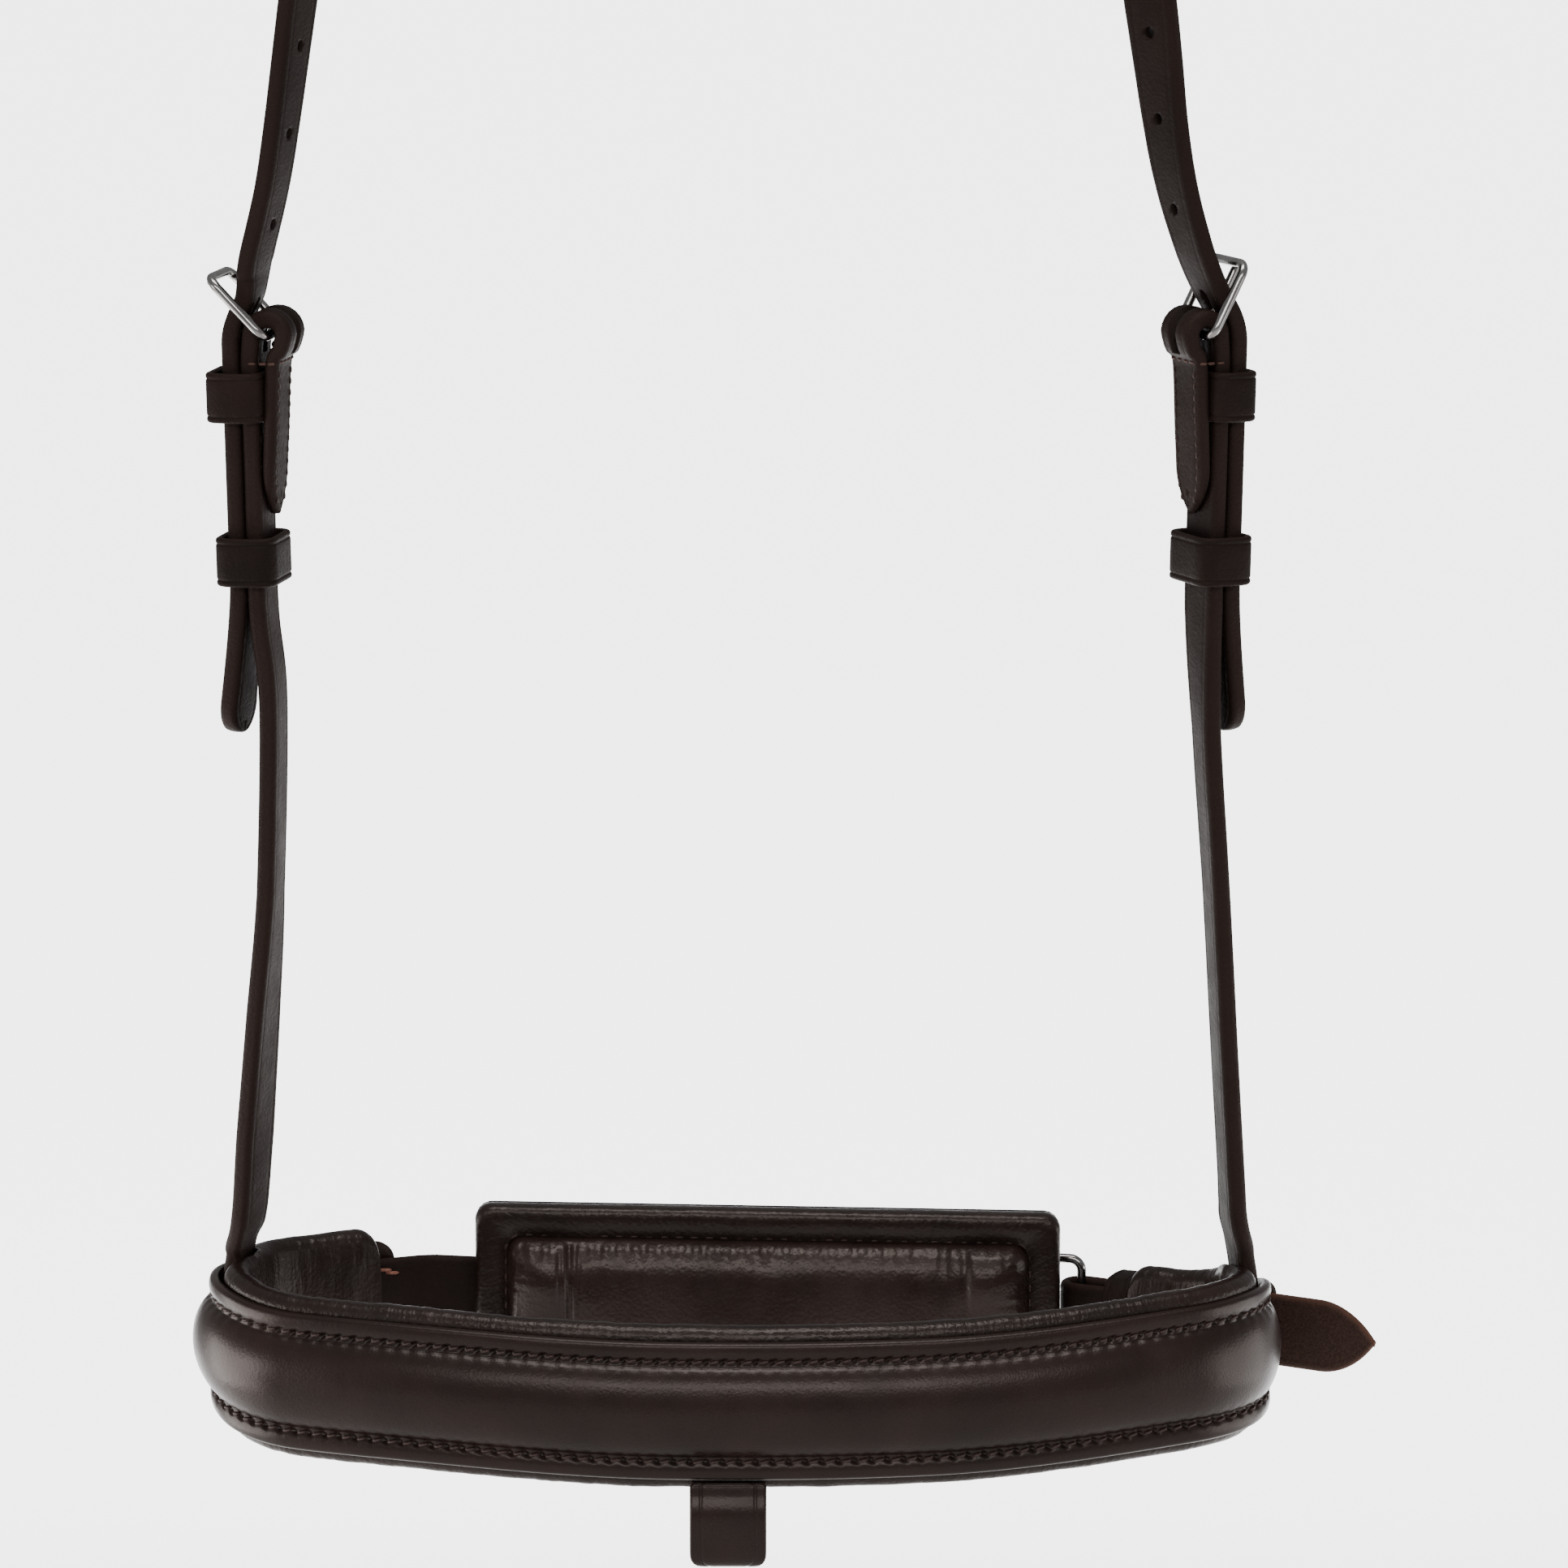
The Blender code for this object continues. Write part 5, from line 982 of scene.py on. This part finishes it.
def buildChape():
    stack = crankStack(endPoint(rear["chapeBar"], chapeAxis))
    start = bendEnd + rear["chapeBar"]
    runs = start - rear["chapeBack"] * array([1.0, 0.75, 0.5, 0.25, 0.0])
    bottom = ringPoint(runs, chapeBottom + bulgeAt(runs), 0.0)
    turn = arcLine(stack["origin"], -stack["out"], -stack["down"], chapeFold, count=20)
    upper = chapeBottom + rear["chapeThick"] + straps["keeperSkived"] + 3 * gap
    marks = array([(0.0, chapeBottom + 2 * chapeFold), (0.004, upper + 0.0009), (0.0085, upper), (0.012, upper),
                   (rear["chapeBack"] - 0.004, upper)])
    over = ringPoint(start - marks[:, 0], marks[:, 1] + bulgeAt(start - marks[:, 0]), 0.0)
    bottom[:, 2] = over[:, 2] = rearZ
    line = vstack([smoothLine(bottom), turn, smoothLine(over)])
    piece = strapPiece("crank_chape_leather", line, upright(line), rear["width"], rear["chapeThick"],
                       strapSection(0.0008))
    cutFold(piece, stack, chapeFold + rear["chapeThick"], tongueReach + tongue + 0.0006)
    dress(piece, strapLeather, ["crank_chape"], "noseband")


def buildCrankKeepers():
    slide, wall, skived = cheekBuckle["slide"], straps["keeperWall"], straps["keeperSkived"]
    half = rear["width"] / 2 + slide
    inner = (-rear["inset"] - rear["thick"] / 2 - slide, legOut + rear["thick"] / 2 + slide, half)
    keeperPiece("crank_loose_keeper", crankStack(endPoint(0, 0)), -(seam["rightEnd"] + slide + rear["keeperWidth"]),
                rear["keeperWidth"], inner, (wall, wall, wall), "crank_keeper")
    low = chapeBottom + rear["chapeThick"] / 2 + 1.5 * gap + skived
    run = bendEnd + rear["chapeBar"] - rear["fixedStart"] - rear["fixedWidth"] / 2
    side = seam["sideRadius"]
    high = (side + crankOver) / cos((bendEnd - run) / side) - side + rear["thick"] / 2 + slide
    forward = unit(unit(ringPoint(run - 0.0005, 0, 0) - ringPoint(run + 0.0005, 0, 0)) * [1, 1, 0])
    outward = unit(ringPoint(run, 0.01, 0.0) - ringPoint(run, 0.0, 0.0))
    stack = stackAt(ringPoint(run, 0.0, rear["height"] - ringRise(run)), forward, outward)
    keeperPiece("crank_fixed_keeper", stack, -rear["fixedWidth"] / 2, rear["fixedWidth"], (low, high, half),
                (skived, wall, wall), "noseband")


buildChinStrap()
buildCrankStrap()
buildChape()
buildCrankKeepers()
print("rear straps made")


chinPad = {"length": 0.163, "height": 0.052, "rise": 0.004, "corner": 0.0045, "slope": 0.018, "border": 0.0085,
           "edge": 0.0052, "crown": 0.006, "backing": 0.0018, "loopWall": 0.0014, "loopWidth": 0.014,
           "loopSpacing": 0.074, "pastRing": 0.01, "voxel": 0.002, "pressure": 4.0, "frames": 20, "cap": 0.0035,
           "stitch": 0.0042}
padX = ringBar + chinPad["pastRing"] - chinPad["length"] / 2
padBack = chinY - rear["thick"] / 2 - 0.0006 - chinPad["loopWall"] - gap
padCentre = array([padX, padBack, float(chinLevel(padX)) + chinPad["rise"]])
padBase = chinPad["backing"] + gap
panelHalf = (chinPad["length"] / 2 - chinPad["border"], chinPad["height"] / 2 - chinPad["border"])


def padRing(inset, corner, front, count):
    # the pad's outline moved inwards, at even steps, a distance in front of the pad's back; and its length
    loop = roundedLoop(0, chinPad["length"] / 2 - inset, chinPad["height"] / 2 - inset, corner)
    run = runsOf(loop)
    x, z = readAt(loop, run, linspace(0, run[-1], count, endpoint=False)).T
    return padCentre + column_stack([x, full(count, -front), z - chinPad["slope"] * x]), run[-1]


def buildPadRim():
    # a rolled border: outlines shrink inwards while the height follows a low round profile, down into the channel
    border = chinPad["border"]
    share = array([0.0, -0.02, 0.0, 0.04, 0.12, 0.24, 0.38, 0.54, 0.7, 0.84, 0.93, 1.0, 1.07, 1.15, 1.15])
    height = array([0.0, 0.4, 0.66, 0.86, 1.0, 1.07, 1.08, 1.04, 0.97, 0.89, 0.82, 0.78, 0.76, 0.7, 0.0])
    rings, lengths = zip(*(padRing(border * s, max(chinPad["corner"] - border * s * 0.5, 0.002),
                                   padBase + chinPad["edge"] * h, 480) for s, h in zip(share, height)))
    grid = np.stack(rings, axis=1)
    soft = lumps(grid, 0.009, 21) + 0.5 * lumps(grid * [1, 1, 0.3], 0.0024, 22)
    grid[:, :, 1] -= soft * 0.00036 * (height > 0.3)
    uv = (linspace(0, lengths[-1], len(grid) + 1), aroundOf(share * border, height * chinPad["edge"], 0.02))
    piece = gridPiece("chin_pad_rim", grid, uv, True, {"cutEdge": 0.0, "flesh": 0.0})
    dress(piece, rollLeather, [], "chin_pad")


def buildPadPanel():
    # a cushion with a crowned front, swollen by cloth pressure, then creased near its corners
    share = array([0.06, 0.0, 0.0, 0.02, 0.05, 0.09, 0.15, 0.24, 0.38, 0.6, 0.85])
    height = array([0.0, 0.0, 0.36, 0.52, 0.66, 0.77, 0.86, 0.93, 0.97, 1.0, 1.0])
    play = 0.0002       # room between the panel and its border
    proud = chinPad["edge"] + chinPad["crown"] * 0.74
    rings = [padRing(chinPad["border"] + play + (panelHalf[1] - play) * s, max(0.004 * (1 - s), 0.0004),
                     padBase + proud * h, 160)[0] for s, h in zip(share, height)]
    piece = gridPiece("chin_pad_panel", np.stack(rings), (linspace(0, 0.03, len(rings)), linspace(0, 0.3, 161)))
    step = piece.modifiers.new("voxels", "REMESH")
    step.mode, step.voxel_size = "VOXEL", chinPad["voxel"]
    applyAll(piece)
    swell(piece)
    finishPanel(piece)


def edgeOf(local):
    # distance in from the panel's outline, for points counted from the pad's middle
    return minimum(panelHalf[0] - np.abs(local[:, 0]), panelHalf[1] - np.abs(local[:, 2]))


def swell(piece):
    # cloth pressure without gravity; movement m becomes m c / (m + c), under the cap c, and is held back at the seam
    start = coordsOf(piece.data)
    cloth = piece.modifiers.new("pressure", "CLOTH")
    cloth.settings.use_pressure = True
    cloth.settings.uniform_pressure_force = chinPad["pressure"]
    cloth.settings.effector_weights.gravity = 0
    cloth.settings.quality = 6
    cloth.point_cache.frame_start, cloth.point_cache.frame_end = 1, chinPad["frames"]
    for number in range(1, chinPad["frames"] + 1):
        bpy.context.scene.frame_set(number)
    applyAll(piece)
    bpy.context.scene.frame_set(1)
    moved = coordsOf(piece.data) - start
    far = np.linalg.norm(moved, axis=1, keepdims=True)
    moved = moved * chinPad["cap"] / (far + chinPad["cap"])
    held = ease(edgeOf(start - padCentre), 0.0, 0.008)[:, None]
    setCoords(piece.data, start + moved * where([[True, False, True]], held, 0.3 + 0.7 * held))


# x from the pad's middle, width, depth and lower end of the soft creases beside the panel's corners
padFolds = [(-0.0553, 0.001, 0.0014, -0.02), (-0.058, 0.0007, 0.0007, -0.014), (-0.0527, 0.0008, 0.0007, -0.01),
            (-0.0505, 0.0013, 0.0005, 0.0), (0.055, 0.0013, 0.0009, -0.012), (0.049, 0.002, 0.0007, -0.002),
            (0.043, 0.002, 0.0005, 0.002)]


panel = {"pinch": 0.0003, "pucker": 0.0003, "puckerSize": 0.0015, "grain": 0.0004, "grainSize": 0.011,
         "cornerIn": (0.0115, 0.0105), "cornerWide": 0.0085, "cornerFull": 0.0024, "frontFrom": (0.004, 0.007)}


def finishPanel(piece):
    # a sine of pinches at the stitches, bells for the folds, stretched noise for puckers, a bell in the upper corners
    smooth = piece.modifiers.new("smooth", "SUBSURF")
    smooth.levels = smooth.render_levels = 2
    applyAll(piece)
    points = coordsOf(piece.data)
    local = points - padCentre
    toEdge = edgeOf(local)
    pinch = panel["pinch"] * sin(local[:, 0] * 2 * pi / chinPad["stitch"]) * hump(toEdge, 0.0015, 0.0024)
    folds = np.zeros(len(points))
    for x, width, depth, bottom in padFolds:
        fade = ease(local[:, 2], bottom, bottom + 0.02) * ease(toEdge, 0, 0.002)
        folds -= depth * hump(local[:, 0], x, width) * fade
    beside = panelHalf[0] - np.abs(local[:, 0]) < panelHalf[1] - np.abs(local[:, 2])
    puckers = where(beside, lumps(points * [0.12, 1, 1], panel["puckerSize"], 33),
                    lumps(points * [1, 1, 0.12], panel["puckerSize"], 32))
    corner = hypot(np.abs(local[:, 0]) - (panelHalf[0] - panel["cornerIn"][0]),
                   local[:, 2] - (panelHalf[1] - panel["cornerIn"][1]))
    grain = lumps(points, panel["grainSize"], 31) * panel["grain"]
    grain += puckers * panel["pucker"] * hump(toEdge, 0.0045, 0.007)
    grain += panel["cornerFull"] * hump(corner, 0, panel["cornerWide"])
    points[:, 1] -= ease(-local[:, 1], *panel["frontFrom"]) * (pinch + folds + grain)
    setCoords(piece.data, points)
    piece.data.shade_smooth()
    dress(piece, panelLitLeather, ["chin_pad_cover", "chin_pad_foam"], "chin_pad")


def buildPadTrim():
    # the backing sheet, the row of stitches in the channel, and the two loops on the chin strap
    depth = array([0.0, 0.0003, 0.0008, 0.001, 0.0015, 0.0018])
    rings = [padRing(inset, chinPad["corner"], front, 240)[0] for inset, front in
             zip((0.0006, 0.0002, 0.0, 0.0, 0.0002, 0.0006), depth)]
    piece = gridPiece("chin_pad_backing", np.stack(rings), (depth, linspace(0, 0.42, 241)), False,
                      {"cutEdge": 0.0, "flesh": 0.0})
    dress(piece, strapLeather, ["chin_pad_back"], "chin_pad")
    points, _ = padRing(chinPad["border"] * 0.98, chinPad["corner"], padBase + chinPad["edge"] * 0.74,
                        int(0.36 / chinPad["stitch"]))
    stitchPiece("chin_pad_stitches", darkThread, "chin_pad", points, roll(points, -1, 0) - roll(points, 1, 0),
                array([0, -1.0, 0]), 0.0029, 0.00042, 0.45)
    reach, width, walls = rear["thick"] / 2 + 0.0006, chinPad["loopWidth"], (chinPad["loopWall"],) * 3
    for side, node in ((-1, "chin_pad_left_loop"), (1, "chin_pad_right_loop")):
        x = padX + side * chinPad["loopSpacing"] / 2
        stack = stackAt([x - width / 2, chinY, float(chinLevel(x))], array([1.0, 0, 0]), array([0, 1.0, 0]))
        keeperPiece(node, stack, 0, width, (-reach, reach, rear["width"] / 2 + 0.0018), walls, "chin_pad")


buildPadRim()
buildPadPanel()
buildPadTrim()
print("chin pad made")


flash = {"middle": -0.003, "width": 0.0206, "thick": 0.0022, "drop": 0.0235, "slot": 0.0046, "root": 0.0018,
         "edge": 0.0008, "crease": 0.003, "creaseDepth": 0.00035, "narrowed": 0.003}


def buildFlashLoop():
    # one strip down the front, round the bottom and up the back, its two ends meeting at the seam
    root, side = flash["root"], flash["slot"] / 2 + flash["thick"] / 2
    origin = array([flash["middle"], -widestY - root + gap, -face["height"] / 2 - gap - root - noseDrop])
    bottom = -(flash["drop"] - root) + flash["thick"] / 2
    half = [(0.0006, root * 0.65), (0.0008, 0.0), (0.0018, -0.0024), (side, -0.007), (side, bottom + side * 1.3),
            (side * 0.86, bottom + side * 0.45), (side * 0.5, bottom + side * 0.1), (0, bottom)]
    loop = half + [(-out, level) for out, level in reversed(half[:-1])]
    line = smoothLine(array([(0, -out, level) for out, level in loop]) + origin)
    run = runsOf(line)
    middle = run[-1] / 2
    thick = flash["thick"] * (0.42 + 0.58 * ease(minimum(run, run[-1] - run), 0.0006, 0.004))
    piece = strapPiece("flash_loop_leather", line, repeat([[1.0, 0, 0]], len(line), 0), flash["width"], thick,
                       strapSection(flash["edge"], flash["crease"], flash["creaseDepth"]), spacing=0.0008,
                       grow=lambda run: -flash["narrowed"] * hump(run, middle, 0.0034) ** 2)
    dress(piece, faceLeather, ["flash_loop"], "flash_loop")


buildFlashLoop()
print("flash loop made")


studio = {"floorDrop": -0.72, "floorSize": 60.0, "floorLight": (0.9, 0.9, 0.9), "floorDark": (0.88, 0.88, 0.88),
          "glow": 4.0, "glowRun": (-0.1, 0.5), "glowSpread": 0.1, "glowEdge": (0.2, 0.72), "world": 0.3,
          "cameraPlace": (0.012, -2.1915, 0.0387), "tilt": 79 * deg, "lens": 189.0, "sensor": 36.0,
          "lampColour": (1.0, 0.96, 0.94)}
# name, place, point it faces, width and height, watts
lamps = [("top_box", (0.0, -1.9, 0.65), (0, 0, -0.5), (2.2, 0.35), 17),
         ("high_box", (0.0, -0.3, 1.3), (0, 0, -0.5), (1.2, 0.6), 16),
         ("left_strip", (-1.1, -0.45, -0.45), (-0.1, 0, -0.55), (0.5, 0.4), 2.0),
         ("right_strip", (1.1, -0.45, -0.55), (0.1, 0, -0.55), (0.5, 0.4), 0.9),
         ("low_left", (-0.44, 0.0, -0.59), (-0.14, 0, -0.55), (0.3, 0.22), 1.1),
         ("low_right", (0.44, 0.0, -0.59), (0.14, 0, -0.55), (0.3, 0.22), 0.5)]


def areaLight(name, place, target, size, power):
    # a soft rectangle of light that faces its target
    data = bpy.data.lights.new(name, "AREA")
    data.shape, data.size, data.size_y, data.energy = "RECTANGLE", size[0], size[1], power
    data.color = studio["lampColour"]
    lamp = bpy.data.objects.new(name, data)
    lamp.location = place
    lamp.visible_camera = False
    x, y, z = unit(array(target, float) - array(place, float))
    lamp.rotation_euler = (np.arctan2(hypot(x, y), -z), 0, np.arctan2(-x, y))
    bpy.context.scene.collection.objects.link(lamp)


def buildStudio():
    # a pale floor that glows far behind the part, a dim white sky, the lamps and the camera
    half, scene = studio["floorSize"] / 2, bpy.context.scene
    data = bpy.data.meshes.new("floor")
    data.from_pydata([(x * half, y * half, studio["floorDrop"]) for x, y in ((-1, -1), (1, -1), (1, 1), (-1, 1))],
                     [], [(0, 1, 2, 3)])
    floor = bpy.data.objects.new("floor", data)
    scene.collection.objects.link(floor)
    made, tree, shader, coords = nodesOf("pale_glowing_floor")
    x, y, _ = add(tree, "SeparateXYZ", {"Vector": coords}).outputs
    # the floor's emission is painted light: strongest far behind the part and fading to the sides, it lights the part
    # from behind and below like a hidden lamp
    glow = spread(tree, y, studio["glowRun"], (0.0, studio["glow"]), "SMOOTHSTEP")
    aside = calc(tree, "SUBTRACT", calc(tree, "ABSOLUTE", x, 0.0), calc(tree, "MULTIPLY", y, studio["glowSpread"]))
    fade = spread(tree, aside, studio["glowEdge"], (1.0, 0.1), "SMOOTHSTEP")
    tone = ramp(tree, noise(tree, coords, 3.0), (0.3, studio["floorLight"]), (0.7, studio["floorDark"]))
    feed(tree, shader, {"Base Color": tone, "Roughness": 0.9, "Emission Color": (1, 1, 1, 1),
                        "Emission Strength": calc(tree, "MULTIPLY", glow, fade)})
    floor.data.materials.append(made)
    world = bpy.data.worlds.new("studio")
    world.use_nodes = True
    feed(world.node_tree, world.node_tree.nodes["Background"], {"Color": (1, 1, 1, 1), "Strength": studio["world"]})
    scene.world = world
    for lamp in lamps:
        areaLight(*lamp)
    camera = bpy.data.objects.new("camera", bpy.data.cameras.new("camera"))
    camera.data.lens, camera.data.sensor_width = studio["lens"], studio["sensor"]
    camera.data.clip_start, camera.data.clip_end = 0.05, 200
    camera.location, camera.rotation_euler = studio["cameraPlace"], (studio["tilt"], 0, 0)
    scene.collection.objects.link(camera)
    scene.camera = camera


buildStudio()
print("studio made")
